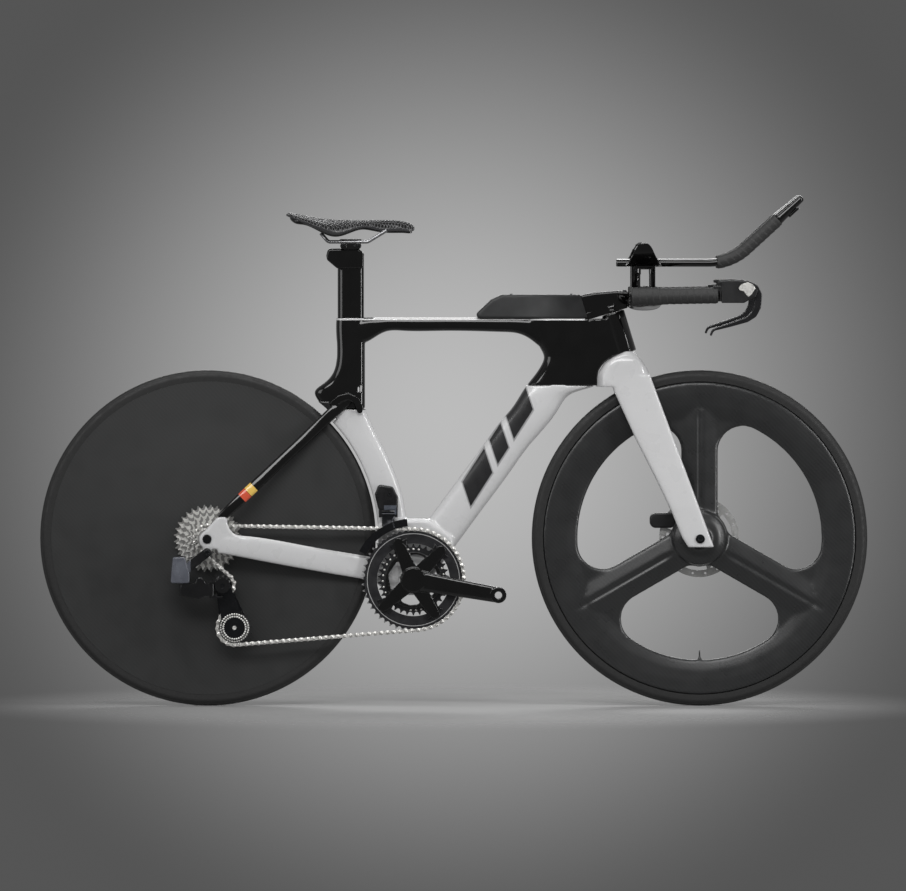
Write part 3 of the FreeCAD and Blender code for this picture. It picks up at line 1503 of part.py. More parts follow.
def derailleur_body():
    """Body bolted to the hanger, with the shift motor and the two lower link pins."""
    left = -size.dropout_gap - size.dropout_thickness * 0.75
    outer = -size.derailleur_body_offset - size.derailleur_body_width / 2
    inner = -size.derailleur_body_offset + size.derailleur_body_width / 2
    base = link_high + size.moving_gap
    top = base + size.derailleur_body_height
    front = LINK_FOOT.x + size.derailleur_body_length * 0.4
    rear = front - size.derailleur_body_length
    block = slab([Vector(front, 0, base), Vector(front, 0, top * 0.35 + base * 0.65),
                  Vector(front - size.hanger_radius, 0, top),
                  Vector(rear + size.hanger_radius / 2, 0, top), Vector(rear, 0, base)],
                 size.hanger_radius / 2, outer, inner, size.derailleur_body_width / 10)
    arm = tapered_bar(HANGER, size.hanger_radius, Vector(front - size.hanger_radius, 0, (base + top) / 2),
                      size.hanger_radius, left - size.dropout_thickness, left)
    bolt = side_cylinder(HANGER, size.hanger_radius * 0.7, left - size.dropout_thickness * 1.4, left)
    solid = block.fuse([arm, bolt])
    for plane in LINK_PLANES:
        solid = solid.fuse(upright(LINK_FOOT.x, plane, size.derailleur_pin_radius, link_low,
                                   base + size.hanger_radius))
    return solid.removeSplitter()


# outline of the outer link about its rear pin, in link lengths ahead and link heights up from its foot
LINK_COVER_SHARES = (
    (-0.06, 0.1), (-0.06, 0.98), (0.44, 0.98), (0.48, 1.5), (0.68, 1.56), (0.8, 1.0), (0.8, 0.0),
    (0.55, -0.26), (0.2, -0.16),
)


def link_cover():
    """Bulged cover in one piece with the outer link."""
    corners = [Vector(LINK_FOOT.x + ahead * size.derailleur_link_length, 0,
                      link_low + high * size.derailleur_link_height) for ahead, high in LINK_COVER_SHARES]
    half = size.derailleur_link_width / 2
    return slab(corners, size.derailleur_link_height / 3, LINK_PLANES[0] - half, LINK_PLANES[0] + half,
                half / 2)


def derailleur_link(plane, cover=None):
    """One of the two parallel links between body and knuckle, the outer one with its cover."""
    head = LINK_FOOT.x + size.derailleur_link_length
    half = size.derailleur_link_width / 2
    bore = size.derailleur_pin_radius + size.running_clearance
    solid = Part.makeBox(size.derailleur_link_length, size.derailleur_link_width,
                         size.derailleur_link_height,
                         Vector(LINK_FOOT.x, plane - half, link_low))
    for spot in (LINK_FOOT.x, head):
        solid = solid.fuse(upright(spot, plane, half, link_low, link_high))
    if cover:
        solid = solid.fuse(cover)
    for spot in (LINK_FOOT.x, head):
        solid = solid.cut(upright(spot, plane, bore, link_low - half, link_high + half))
    return solid.removeSplitter()


def derailleur_knuckle():
    """Knuckle at the lower end of the links, with the cage pivot bore."""
    head = LINK_FOOT.x + size.derailleur_link_length
    inner = SPROCKET_PLANE - size.cage_half_gap - size.cage_plate_thickness - size.moving_gap / 2
    outer = LINK_PLANES[0] - size.derailleur_link_width / 2 - size.moving_gap
    solid = side_cylinder(GUIDE_PULLEY, size.knuckle_radius, outer, inner)
    thick = size.derailleur_link_width / 2
    for low in (link_high + size.moving_gap / 2, link_low - size.moving_gap / 2 - thick):
        rear = head - size.derailleur_link_width / 2
        plate = Part.makeBox(GUIDE_PULLEY.x - rear, LINK_PLANES[1] - outer + thick, thick,
                             Vector(rear, outer, low))
        solid = solid.fuse(plate)
    for plane in LINK_PLANES:
        solid = solid.fuse(upright(head, plane, size.derailleur_pin_radius, link_low - thick,
                                   link_high + thick))
    solid = solid.cut(side_cylinder(GUIDE_PULLEY, size.pulley_bolt_radius * 1.5 + size.running_clearance,
                                    outer * 2, 0))
    return solid.removeSplitter()


def derailleur_cage():
    """Two cage plates with the pulley bolts and the pivot that enters the knuckle."""
    gap = size.cage_half_gap
    thick = size.cage_plate_thickness
    solids = []
    for left, end in ((SPROCKET_PLANE - gap - thick, size.cage_outer_end),
                      (SPROCKET_PLANE + gap, size.cage_inner_end)):
        solids.append(tapered_bar(GUIDE_PULLEY, size.cage_half_width * 0.9, TENSION_PULLEY, end,
                                  left, left + thick))
    for centre in (GUIDE_PULLEY, TENSION_PULLEY):
        solids.append(side_cylinder(centre, size.pulley_bolt_radius, SPROCKET_PLANE - gap - thick,
                                    SPROCKET_PLANE + gap + thick))
    outer = LINK_PLANES[0] - size.derailleur_link_width / 2
    solids.append(side_cylinder(GUIDE_PULLEY, size.pulley_bolt_radius * 1.5, outer,
                                SPROCKET_PLANE - gap - thick / 2))
    return solids[0].fuse(solids[1:]).removeSplitter()


def pulley(centre, teeth, phase):
    """Jockey wheel with its boss."""
    bore = size.pulley_bolt_radius + size.running_clearance
    plate = toothed_disc(centre, teeth, phase, bore, SPROCKET_PLANE, size.pulley_thickness)
    half = size.cage_half_gap - size.seat_clearance
    boss = lathe(centre, [(bore, SPROCKET_PLANE - half), (size.pulley_boss_radius, SPROCKET_PLANE - half),
                          (size.pulley_boss_radius, SPROCKET_PLANE + half), (bore, SPROCKET_PLANE + half)])
    return plate.fuse(boss).removeSplitter()


keep("rear_derailleur_body", derailleur_body())
keep("rear_derailleur_outer_link", derailleur_link(LINK_PLANES[0], link_cover()))
keep("rear_derailleur_inner_link", derailleur_link(LINK_PLANES[1]))
keep("rear_derailleur_knuckle", derailleur_knuckle())
keep("rear_derailleur_cage", derailleur_cage())
keep("tension_pulley", pulley(TENSION_PULLEY, TENSION_PULLEY_TEETH, ROLLER_PHASES[1]))
keep("guide_pulley", pulley(GUIDE_PULLEY, GUIDE_PULLEY_TEETH, ROLLER_PHASES[2]))


# Front derailleur

# corners of the shifting motor about the crank axis, in shares of its height: ahead, up
FRONT_SHIFTER_SHARES = ((-0.94, 2.57), (-0.56, 2.51), (-0.42, 2.245), (-0.42, 1.87), (-0.94, 1.87),
                        (-1.045, 2.31))
FRONT_HINGE_SHARES = (-0.68, 1.76, 0.42)
CAGE_ANGLES = (96.0, 124.0, 152.0)
CAGE_BRIDGE_ANGLES = ((100.0, 106.0, 112.0), (146.0, 149.0, 152.0))
ahead_share, high_share, side_share = FRONT_HINGE_SHARES
FRONT_HINGE = at(BRACKET, ahead_share * size.front_shifter_height, high_share * size.front_shifter_height,
                 -side_share * size.front_shifter_height)


def along_x(centre, radius, rear, front):
    """A cylinder along X."""
    return Part.makeCylinder(radius, front - rear, Vector(rear, centre.y, centre.z), AHEAD)


def front_shifter():
    """Motor on the side of the seat tube, with two lugs and the hinge pin of the cage."""
    tall = size.front_shifter_height
    corners = [at(BRACKET, ahead * tall, high * tall) for ahead, high in FRONT_SHIFTER_SHARES]
    outer = -size.seat_tube_width / 2 - size.front_shifter_width
    body = slab(corners, size.front_shifter_width / 3, outer, 0, size.front_shifter_width / 6)
    lug = size.front_lug_width
    half = size.front_cage_barrel_length / 2 + size.seat_clearance
    solids = []
    for rear in (FRONT_HINGE.x - half - lug, FRONT_HINGE.x + half):
        rise = size.front_shifter_height / 4
        solids.append(Part.makeBox(lug, lug * 2, rise,
                                   Vector(rear, FRONT_HINGE.y - lug, FRONT_HINGE.z - lug)))
    solids.append(along_x(FRONT_HINGE, size.derailleur_pin_radius, FRONT_HINGE.x - half - lug,
                          FRONT_HINGE.x + half + lug))
    return body.fuse(solids).cut(seat_lower).cut(seat_outer).removeSplitter()


def arc_plate(inner, outer, angles, left, right):
    """A piece of a flat ring about the crank axis."""
    spots = [[polar(BRACKET, radius, angle, left) for angle in angles] for radius in (inner, outer)]
    edges = [
        Part.Arc(*spots[0]).toShape(), Part.LineSegment(spots[0][2], spots[1][2]).toShape(),
        Part.Arc(spots[1][2], spots[1][1], spots[1][0]).toShape(), Part.LineSegment(spots[1][0],
                                                                                    spots[0][0]).toShape(),
    ]
    return Part.Face(Part.Wire(edges)).extrude(SIDE * (right - left))


def front_cage():
    """Cage that guides the chain: two curved plates, two bridges and the hinge barrel."""
    inner = size.front_cage_radius
    outer = inner + size.front_cage_depth
    gap = size.front_cage_half_gap
    thick = size.front_cage_thickness
    solids = []
    for left in (RING_PLANE - gap - thick, RING_PLANE + gap):
        solids.append(arc_plate(inner, outer, CAGE_ANGLES, left, left + thick))
    for angles in CAGE_BRIDGE_ANGLES:
        solids.append(arc_plate(outer - thick, outer, angles, RING_PLANE - gap - thick,
                                RING_PLANE + gap + thick))
    half = size.front_cage_barrel_length / 2
    barrel = size.derailleur_pin_radius * 2
    solids.append(along_x(FRONT_HINGE, barrel, FRONT_HINGE.x - half, FRONT_HINGE.x + half))
    web_side = RING_PLANE + gap
    web_low = BRACKET.z + inner * 0.99
    web_wide = FRONT_HINGE.y - barrel / 4 - web_side
    solids.append(Part.makeBox(half * 2, web_wide, FRONT_HINGE.z - web_low,
                               Vector(FRONT_HINGE.x - half, web_side, web_low)))
    bore = size.derailleur_pin_radius + size.running_clearance
    return solids[0].fuse(solids[1:]).cut(along_x(FRONT_HINGE, bore, FRONT_HINGE.x - half * 2,
                                                  FRONT_HINGE.x + half * 2))


keep("front_derailleur_body", front_shifter())
keep("front_derailleur_cage", front_cage().removeSplitter())


# Fork and steering

# up the steering axis in fork lengths, ahead of the axis and depth in blade depths
BLADE_SHARES = (
    (-0.072, 0.44, 0.36), (-0.045, 0.42, 0.66), (0.0, 0.372, 0.824), (0.3, 0.21, 0.91), (0.581, 0.061,
                                                                                         0.986),
    (0.765, -0.049, 1.054), (0.884, -0.15, 1.135),
)
# drop from the crown race in crown heights, rear, front and half width in full sizes
CROWN_SHARES = ((0.0, 0.85, 0.40, 0.52), (0.3, 1.0, 0.77, 0.90), (1.0, 1.03, 1.0, 1.0),
                (1.8, 0.98, 1.06, 1.0))
# corners of the stem about the top of the head tube, in stem heights
STEM_SHARES = (
    (-1.286, -0.09), (-1.566, 0.789), (-0.809, 0.92), (0.145, 1.0), (0.759, 0.955), (0.85, 0.432), (0.282,
                                                                                                    0.227),
)


def fork_blade():
    """Left fork blade, narrowing towards the crown."""
    bottom = size.front_dropout_gap + size.blade_thickness / 2
    sections = []
    for along, ahead, deep in BLADE_SHARES:
        side = bottom + (size.blade_top_offset - bottom) * max(0.0, along)
        centre = steer_point(along * size.fork_length, ahead * size.blade_depth, side)
        half = size.blade_thickness / 2
        sections.append(rounded_section(
            centre, STEER_AHEAD, SIDE, deep * size.blade_depth / 2, half, BLADE_FULLNESS_SHARE))
    return loft(sections)


def fork():
    """Crown, both blades and the steerer in one moulding."""
    sections = []
    for drop, rear, front, half in CROWN_SHARES:
        back = rear * size.crown_rear_radius
        fore = front * size.crown_front_radius
        centre = steer_point(size.fork_length - drop * size.crown_height, (fore - back) / 2)
        sections.append(rounded_section(
            centre, STEER_AHEAD, SIDE, (back + fore) / 2, half * size.crown_half_width, TUBE_FULLNESS_SHARE))
    crown = loft(sections).common(crown_envelope(0.0))
    blade = fork_blade()
    top = size.fork_length + size.head_tube_length + size.stem_height * 0.8
    foot = size.fork_length - size.crown_height / 2
    steerer = Part.makeCylinder(size.steerer_radius, top - foot, steer_point(foot), STEER)
    solid = crown.fuse([blade, mirrored(blade), steerer])
    room = side_cylinder(FRONT_AXLE, size.tyre_radius + size.tyre_gap * 2.4, -size.fork_slot_half,
                         size.fork_slot_half)
    solid = solid.cut(room).cut(axle_hole(FRONT_AXLE))
    for side in (-1, 1):
        face = size.front_dropout_gap * side
        spot = min(face, face - side * size.blade_thickness)
        solid = solid.cut(side_cylinder(FRONT_AXLE, size.dropout_radius, spot, spot + size.blade_thickness))
        face = (size.front_dropout_gap + size.blade_thickness) * side
        spot = min(face, face + side * size.blade_thickness)
        solid = solid.cut(side_cylinder(FRONT_AXLE, size.axle_head_radius * 1.2, spot,
                                        spot + size.blade_thickness))
    return solid.removeSplitter()


def wing_section(side):
    """Section of the base bar at a distance to the side, swept up a little at its ends."""
    share = abs(side) / size.bar_half_width
    ease = max(0.0, (share - 0.7) / 0.3)
    chord = size.bar_chord * (1 - 0.3 * ease * ease)
    ahead = BAR_X - (size.bar_chord - chord) / 2
    height = BAR_Z + size.grip_rise * 0.4 * ease
    return rounded_section(Vector(ahead, side, height), AHEAD, UP, chord / 2, size.bar_thickness / 2,
                           BLADE_FULLNESS_SHARE)


WING_SHARES = (-1.0, -0.85, -0.7, -0.35, 0.0, 0.35, 0.7, 0.85, 1.0)
grip_rear = BAR_X - size.bar_chord * 0.38
GRIP_FOOT = Vector(grip_rear, size.bar_half_width, BAR_Z + size.grip_rise - size.grip_radius / 4)
GRIP_HEAD = at(GRIP_FOOT, size.grip_length, size.grip_radius / 4)


def base_bar():
    """Wing-shaped bar with a grip at each end."""
    wing = loft([wing_section(share * size.bar_half_width) for share in WING_SHARES])
    run = GRIP_HEAD - GRIP_FOOT
    grip = Part.makeCylinder(size.grip_radius, run.Length, GRIP_FOOT, run)
    return wing.fuse([grip, mirrored(grip)]).removeSplitter()


def stem():
    """Stem that carries the base bar, trimmed to the circle in which it swings."""
    corners = [at(HEAD_TOP, ahead * size.stem_height, high * size.stem_height) for ahead,
               high in STEM_SHARES]
    half = size.stem_width / 2
    body = slab(corners, size.stem_height / 6, -half, half, half / 4)
    swing = Part.makeCylinder(size.stem_rear_radius, size.fork_length, steer_point(size.fork_length), STEER)
    spacer = Part.makeCylinder(size.headset_radius, size.stem_height / 3, HEAD_TOP + STEER * size.moving_gap,
                               STEER)
    return body.common(swing).fuse(spacer).cut(fork_solid).cut(bar_solid).removeSplitter()


fork_solid = fork()
bar_solid = base_bar()
keep("fork", fork_solid)
keep("stem", stem())
keep("base_bar", bar_solid)

# corners of the lever body from the lower rear corner, in body heights
HOOD_SHARES = (
    (0.0, 0.095), (0.0, 0.62), (0.52, 0.76), (1.12, 1.0), (1.6, 1.0), (1.76, 0.786), (1.64, 0.286), (1.24,
                                                                                                     0.05),
    (0.64, 0.0),
)
PIVOT_SHARES = (1.38, 0.833)
# centre line of the brake lever from its pivot in lever drops, half depth in lever depths
LEVER_SHARES = (
    (0.0, 0.0, 0.8), (0.16, -0.07, 0.8), (0.225, -0.21, 0.82), (0.205, -0.45, 0.78), (0.13, -0.6, 0.74),
    (-0.01, -0.7, 0.6), (-0.36, -0.81, 0.45), (-0.68, -0.90, 0.32), (-0.725, -1.02, 0.26),
)
hood_foot = at(GRIP_HEAD, -size.tape_thickness, -size.hood_height * 0.31)
LEVER_PIVOT = at(hood_foot, PIVOT_SHARES[0] * size.hood_height, PIVOT_SHARES[1] * size.hood_height)


def lever_body():
    """Left lever body with a slot for the lever and the pivot pin across it."""
    corners = [at(hood_foot, ahead * size.hood_height, high * size.hood_height) for ahead,
               high in HOOD_SHARES]
    middle = size.bar_half_width
    half = size.hood_width / 2
    body = slab(corners, size.hood_height / 5, middle - half, middle + half, half / 3)
    slot = Part.makeBox(size.hood_height * 3, size.lever_slot_width, size.hood_height * 4,
                        Vector(LEVER_PIVOT.x - size.hood_height * 0.42, middle - size.lever_slot_width / 2,
                               hood_foot.z - size.hood_height))
    pin = side_cylinder(LEVER_PIVOT, size.lever_pin_radius, middle - half * 0.9, middle + half * 0.9)
    return body.cut(slot).cut(bar_solid).fuse(pin).removeSplitter()


def brake_lever():
    """Left brake lever with its pivot eye."""
    spots = [at(LEVER_PIVOT, ahead * size.lever_drop, high * size.lever_drop) for ahead, high,
             _deep in LEVER_SHARES]
    depths = [deep * size.lever_depth for _ahead, _high, deep in LEVER_SHARES]
    left = size.bar_half_width - size.lever_width / 2
    right = size.bar_half_width + size.lever_width / 2
    blade = slab(ribbon(spots, depths), size.lever_depth * 1.6, left, right, size.lever_width / 6)
    eye = side_cylinder(LEVER_PIVOT, size.lever_depth * 0.8, left, right)
    bore = side_cylinder(LEVER_PIVOT, size.lever_pin_radius + size.running_clearance, left * 0.9,
                         right * 1.1)
    return blade.fuse(eye).cut(bore).removeSplitter()


def grip_tape():
    """Tape round the left grip, fuller at the rear end."""
    run = GRIP_HEAD - GRIP_FOOT
    run.normalize()
    outer = size.grip_radius + size.tape_thickness
    swell = Part.makeCone(outer * 1.2, outer, size.grip_radius * 3, GRIP_FOOT, run)
    sleeve = Part.makeCylinder(outer, hood_foot.x - GRIP_FOOT.x - size.seat_clearance, GRIP_FOOT, run)
    return largest_solid(swell.fuse(sleeve).cut(bar_solid))


left_lever = brake_lever()
keep("brake_lever_bodies", pair(lever_body()))
keep("left_brake_lever", left_lever)
keep("right_brake_lever", mirrored(left_lever))

EXTENSION_SLOPE = 42.5
slope = math.radians(EXTENSION_SLOPE)
RISE_WAY = Vector(math.cos(slope), 0, math.sin(slope))
extension_middle = RISER_Z + size.extension_radius
EXTENSION_FOOT = Vector(BAR_X - size.extension_tail, size.riser_offset, extension_middle)
EXTENSION_BEND = at(EXTENSION_FOOT, size.extension_tail + size.extension_run + size.extension_tail / 2)
EXTENSION_HEAD = EXTENSION_BEND + RISE_WAY * size.extension_reach


def extension_rod(radius):
    """Left extension: level run, bend and rising grip."""
    return rod([EXTENSION_FOOT, EXTENSION_BEND, EXTENSION_HEAD], radius, size.extension_bend_radius)


def extension_wrap():
    """Wrap on the bent and rising part of the left extension."""
    start = EXTENSION_FOOT.x + size.extension_tail + size.extension_run
    span = size.bar_half_width * 2
    rear = Part.makeBox(span, span, span, Vector(start - span, 0, extension_middle - span / 2))
    return extension_rod(size.extension_tape_radius).cut(rear).cut(extension_solid)


CUP_INSET_SHARE = 0.2


def arm_cup():
    """Left arm cup: a trough whose wings narrow towards their rounded tops."""
    inset = size.cup_length * CUP_INSET_SHARE
    middle = RISER_Z + size.cup_radius
    axis = Vector(BAR_X - size.cup_length / 2, size.cup_offset, middle)
    tube = along_x(axis, size.cup_radius, axis.x, axis.x + size.cup_length)
    tube = tube.cut(along_x(axis, size.cup_radius - size.cup_wall, axis.x - size.cup_length,
                            axis.x + size.cup_length * 2))
    corners = [
        Vector(axis.x, 0, RISER_Z - size.cup_wall), Vector(axis.x + inset, 0, middle),
        Vector(axis.x + size.cup_length - inset, 0, middle),
        Vector(axis.x + size.cup_length, 0, RISER_Z - size.cup_wall),
    ]
    keepers = slab(corners, size.cup_length * 0.3, 0, size.bar_half_width)
    low = Part.makeBox(size.cup_length, size.bar_half_width, size.cup_wall * 3,
                       Vector(axis.x, 0, RISER_Z - size.cup_wall))
    return tube.common(keepers.fuse(low)).removeSplitter()


def pad_section(ahead, thickness, spread):
    """Section of the arm pad: two arcs joined by two short lines."""
    middle = Vector(ahead, size.cup_offset, RISER_Z + size.cup_radius)
    outer = size.cup_radius - size.cup_wall - size.moving_gap
    inner = outer - thickness
    spots = []
    for radius in (outer, inner):
        for angle in (-90 - spread, -90, -90 + spread):
            turn = math.radians(angle)
            spots.append(middle + SIDE * (radius * math.cos(turn)) + UP * (radius * math.sin(turn)))
    edges = [
        Part.Arc(spots[0], spots[1], spots[2]).toShape(), Part.LineSegment(spots[2], spots[5]).toShape(),
        Part.Arc(spots[5], spots[4], spots[3]).toShape(), Part.LineSegment(spots[3], spots[0]).toShape(),
    ]
    return Part.Wire(edges)


# along the cup, thickness, spread of the pad
PAD_SHARES = ((0.04, 0.45, 0.5), (0.12, 0.85, 0.74), (0.3, 1.0, 1.0), (0.7, 1.0, 1.0), (0.88, 0.85, 0.74),
              (0.96, 0.45, 0.5))
PAD_SPREAD = 72.0


def arm_pad():
    """Left arm pad, a cushion that is thinner at its ends."""
    rear = BAR_X - size.cup_length / 2
    wires = []
    for along, thick, spread in PAD_SHARES:
        wires.append(pad_section(rear + along * size.cup_length, thick * size.arm_pad_thickness,
                                 spread * PAD_SPREAD))
    return Part.makeLoft(wires, True, False)


def arm_riser():
    """Left riser between base bar and extension, with a shelf under the cup."""
    half_long = size.riser_length / 2
    half_wide = size.riser_width / 2
    top = extension_middle + size.extension_radius + size.cup_wall
    corners = [
        Vector(BAR_X - half_long, 0, BAR_Z), Vector(BAR_X - half_long, 0, top),
        Vector(BAR_X + half_long, 0, top), Vector(BAR_X + half_long, 0, BAR_Z),
    ]
    post = slab(corners, half_wide / 2, size.riser_offset - half_wide, size.riser_offset + half_wide,
                half_wide / 6)
    shelf = Part.makeBox(size.riser_length * 0.8, size.cup_offset - size.riser_offset + half_wide,
                         size.clamp_height,
                         Vector(BAR_X - half_long * 0.8, size.riser_offset,
                                RISER_Z - size.clamp_height * 0.7))
    middle = Vector(0, size.cup_offset, RISER_Z + size.cup_radius)
    room = along_x(middle, size.cup_radius, 0, size.wheelbase)
    window_low = BAR_Z + size.bar_thickness / 2 + size.cup_wall
    window_high = RISER_Z - size.clamp_height
    window = Part.makeBox(size.riser_window, size.riser_width * 2, window_high - window_low,
                          Vector(BAR_X - size.riser_window / 4, size.riser_offset - size.riser_width,
                                 window_low))
    bolt = Part.makeCylinder(size.riser_bolt_radius, window_high - BAR_Z,
                             Vector(BAR_X + size.riser_window / 4, size.riser_offset, BAR_Z))
    solid = post.cut(window).fuse([bolt, shelf.cut(room)])
    return solid.cut(bar_solid).cut(extension_solid).removeSplitter()


extension_solid = extension_rod(size.extension_radius)
left_wraps = Part.makeCompound([grip_tape(), extension_wrap()])
keep("grip_tape", pair(left_wraps))
keep("extensions", pair(extension_solid))
keep("arm_risers", pair(arm_riser()))
keep("arm_cups", pair(arm_cup()))
keep("arm_pads", pair(arm_pad()))


def on_shifter(shape):
    """Moves a shape from the shifter's own frame, X along it, to the left extension's end."""
    shape.Placement = FreeCAD.Placement(EXTENSION_HEAD, FreeCAD.Rotation(SIDE, -EXTENSION_SLOPE))
    return shape


def button_box(grow):
    """Block of the shift button under the shifter, grown all round by grow."""
    long = size.shift_button_length + grow * 2
    wide = size.shift_button_width + grow * 2
    low = -size.shifter_radius - size.shift_button_height * 0.4
    return Part.makeBox(long, wide, size.shift_button_height + grow,
                        Vector(size.shifter_length / 2 - long / 2, -wide / 2, low))


def shifter_body():
    """Left shifter, a tapered handle with a pocket for the button."""
    cone = Part.makeCone(size.shifter_radius, size.shifter_tip_radius, size.shifter_length, Vector(0, 0, 0),
                         AHEAD)
    rims = [edge for edge in cone.Edges if abs(edge.BoundBox.XMin - size.shifter_length) < 1e-6]
    cone = cone.makeFillet(size.shifter_tip_radius * 0.7, rims)
    room = button_box(size.seat_clearance)
    deeper = room.copy()
    deeper.translate(UP * (size.shift_button_travel + size.seat_clearance))
    return on_shifter(cone.cut(room.fuse(deeper)))


left_button = on_shifter(button_box(0.0))
keep("shifter_bodies", pair(shifter_body()))
keep("left_shift_button", left_button)
keep("right_shift_button", mirrored(left_button))


# Brakes
def caliper(axle, middle, rotor_side, foot):
    """Brake caliper with the rotor slot and two pad pockets, and the foot that bolts it to the frame."""
    half_long = size.caliper_length / 2
    half_tall = size.caliper_height / 2
    half_wide = size.caliper_width / 2
    corners = [at(middle, ahead * half_long, high * half_tall) for ahead,
               high in ((-1, -1), (-1, 1), (1, 1), (1, -1))]
    centre = rotor_side + size.rotor_thickness / 2
    body = slab(corners, half_tall * 0.8, centre - half_wide, centre + half_wide, half_tall / 4).fuse(foot)
    slot_half = size.rotor_thickness / 2 + size.moving_gap
    body = body.cut(side_cylinder(axle, size.rotor_radius + size.moving_gap * 2, centre - slot_half,
                                  centre + slot_half))
    pocket_half = size.rotor_thickness / 2 + size.pad_clearance * 2 + size.pad_thickness
    spare = size.seat_clearance
    pocket = Part.makeBox(size.pad_length + spare * 2, pocket_half * 2, size.pad_height * 3,
                          Vector(middle.x - size.pad_length / 2 - spare, centre - pocket_half,
                                 middle.z + size.pad_height / 2 + spare - size.pad_height * 3))
    return body.cut(pocket)


def brake_pads(label, middle, rotor_side):
    """Outer and inner pad beside the rotor."""
    corner = Vector(middle.x - size.pad_length / 2, 0, middle.z - size.pad_height / 2)
    block = Part.makeBox(size.pad_length, size.pad_thickness, size.pad_height, corner)
    outer = block.copy()
    outer.translate(SIDE * (rotor_side + size.rotor_thickness + size.pad_clearance))
    inner = block.copy()
    inner.translate(SIDE * (rotor_side - size.pad_clearance - size.pad_thickness))
    keep(label + "_outer", outer)
    keep(label + "_inner", inner)


FRONT_CALIPER = at(FRONT_AXLE, -size.front_caliper_back, size.front_caliper_rise)
REAR_CALIPER = at(REAR_AXLE, size.rear_caliper_ahead, size.rear_caliper_rise)
foot_wide = size.caliper_width / 2
front_foot = Part.makeBox(size.caliper_length, foot_wide, size.caliper_height * 0.7,
                          at(FRONT_CALIPER, 0, -size.caliper_height * 0.35,
                             size.front_dropout_gap - foot_wide / 4))
rear_foot = Part.makeBox(size.caliper_length * 0.6, foot_wide, size.caliper_height * 1.4,
                         at(REAR_CALIPER, -size.caliper_length * 0.3, -size.caliper_height * 1.4,
                            size.dropout_gap - foot_wide * 0.6))
front_caliper = caliper(FRONT_AXLE, FRONT_CALIPER, size.front_rotor_offset, front_foot).cut(fork_solid)
rear_caliper = caliper(REAR_AXLE, REAR_CALIPER, size.rear_rotor_offset,
                       rear_foot).cut(left_stay).cut(left_seatstay)
keep("front_brake_caliper", largest_solid(front_caliper))
keep("rear_brake_caliper", largest_solid(rear_caliper))
brake_pads("front_brake_pad", FRONT_CALIPER, size.front_rotor_offset)
brake_pads("rear_brake_pad", REAR_CALIPER, size.rear_rotor_offset)


# Seat

# corners of the post head about the rail line, in head heights: behind the post axis, below the rails
POST_HEAD_SHARES = (
    (-0.72, -1.4), (-1.25, -0.95), (-1.29, -0.72), (-1.2, -0.36), (0.4, -0.33), (0.70, -0.6), (0.68, -1.4),
)


def seatpost():
    """Seatpost with the head that carries the saddle clamp."""
    high = RAIL_Z
    corners = [Vector(SEAT_X + ahead * size.post_head_height, 0, high + up * size.post_head_height)
               for ahead, up in POST_HEAD_SHARES]
    half = size.post_head_width / 2
    head = slab(corners, size.post_head_height / 5, -half, half, half / 4)
    column = post_column(0.0, POST_FOOT, high - size.post_head_height * 0.9)
    return column.fuse(head).removeSplitter()


def saddle_rail():
    """Left saddle rail."""
    rear = Vector(SEAT_X - size.rail_run * 0.57, size.rail_half_spacing, RAIL_Z)
    front = at(rear, size.rail_run)
    drop = size.rail_tail_length * 1.35
    points = [at(rear, -size.rail_tail_length * 1.15, drop), rear, front,
              at(front, size.rail_nose_length, size.rail_nose_rise)]
    return rod(points, size.rail_radius, size.rail_bend_radius)


# along the saddle from its tail, top and skirt above the rails in saddle drops, half width
SADDLE_SHARES = (
    (0.0, 1.70, 1.62, 0.55), (0.03, 1.82, 1.52, 0.82), (0.135, 1.68, 1.16, 1.0), (0.29, 1.46, 0.62, 0.95),
    (0.37, 1.40, 0.42, 0.84), (0.47, 1.37, 0.56, 0.63), (0.59, 1.36, 0.86, 0.43), (0.70, 1.36, 0.74, 0.33),
    (0.83, 1.36, 0.65, 0.285), (0.93, 1.26, 0.64, 0.24), (0.98, 1.1, 0.66, 0.16), (1.0, 0.94, 0.74, 0.09),
)


def saddle_section(index, drop, narrow):
    """Section of the saddle: flat underside, bulged flanks and a crowned top."""
    along, top, skirt, half = SADDLE_SHARES[index]
    ahead = SEAT_X - size.saddle_back + along * size.saddle_length
    wide = half * size.saddle_width / 2 * narrow
    low = RAIL_Z + skirt * size.saddle_drop - drop
    high = RAIL_Z + top * size.saddle_drop - drop
    shoulder = low + (high - low) * 0.62
    waist = low + (high - low) * 0.3

    def spot(side, level):
        return Vector(ahead, side, level)

    return Part.Wire([
        Part.LineSegment(spot(-wide * 0.93, low), spot(wide * 0.93, low)).toShape(),
        Part.Arc(spot(wide * 0.93, low), spot(wide, waist), spot(wide * 0.9, shoulder)).toShape(),
        Part.Arc(spot(wide * 0.9, shoulder), spot(0, high), spot(-wide * 0.9, shoulder)).toShape(),
        Part.Arc(spot(-wide * 0.9, shoulder), spot(-wide, waist), spot(-wide * 0.93, low)).toShape(),
    ])


def saddle_cover():
    """Cushioned cover, crowned across and dished along its length."""
    return Part.makeLoft([saddle_section(index, 0.0, 1.0) for index in range(len(SADDLE_SHARES))], True,
                         False)


def saddle_shell():
    """Stiff shell under the cover, with sockets for the rails."""
    inner = range(1, len(SADDLE_SHARES) - 1)
    plate = Part.makeLoft([saddle_section(index, size.saddle_shell_thickness, 0.92) for index in inner],
                          True, False)
    return largest_solid(plate.cut(cover_solid).cut(rail_solid).cut(mirrored(rail_solid)))


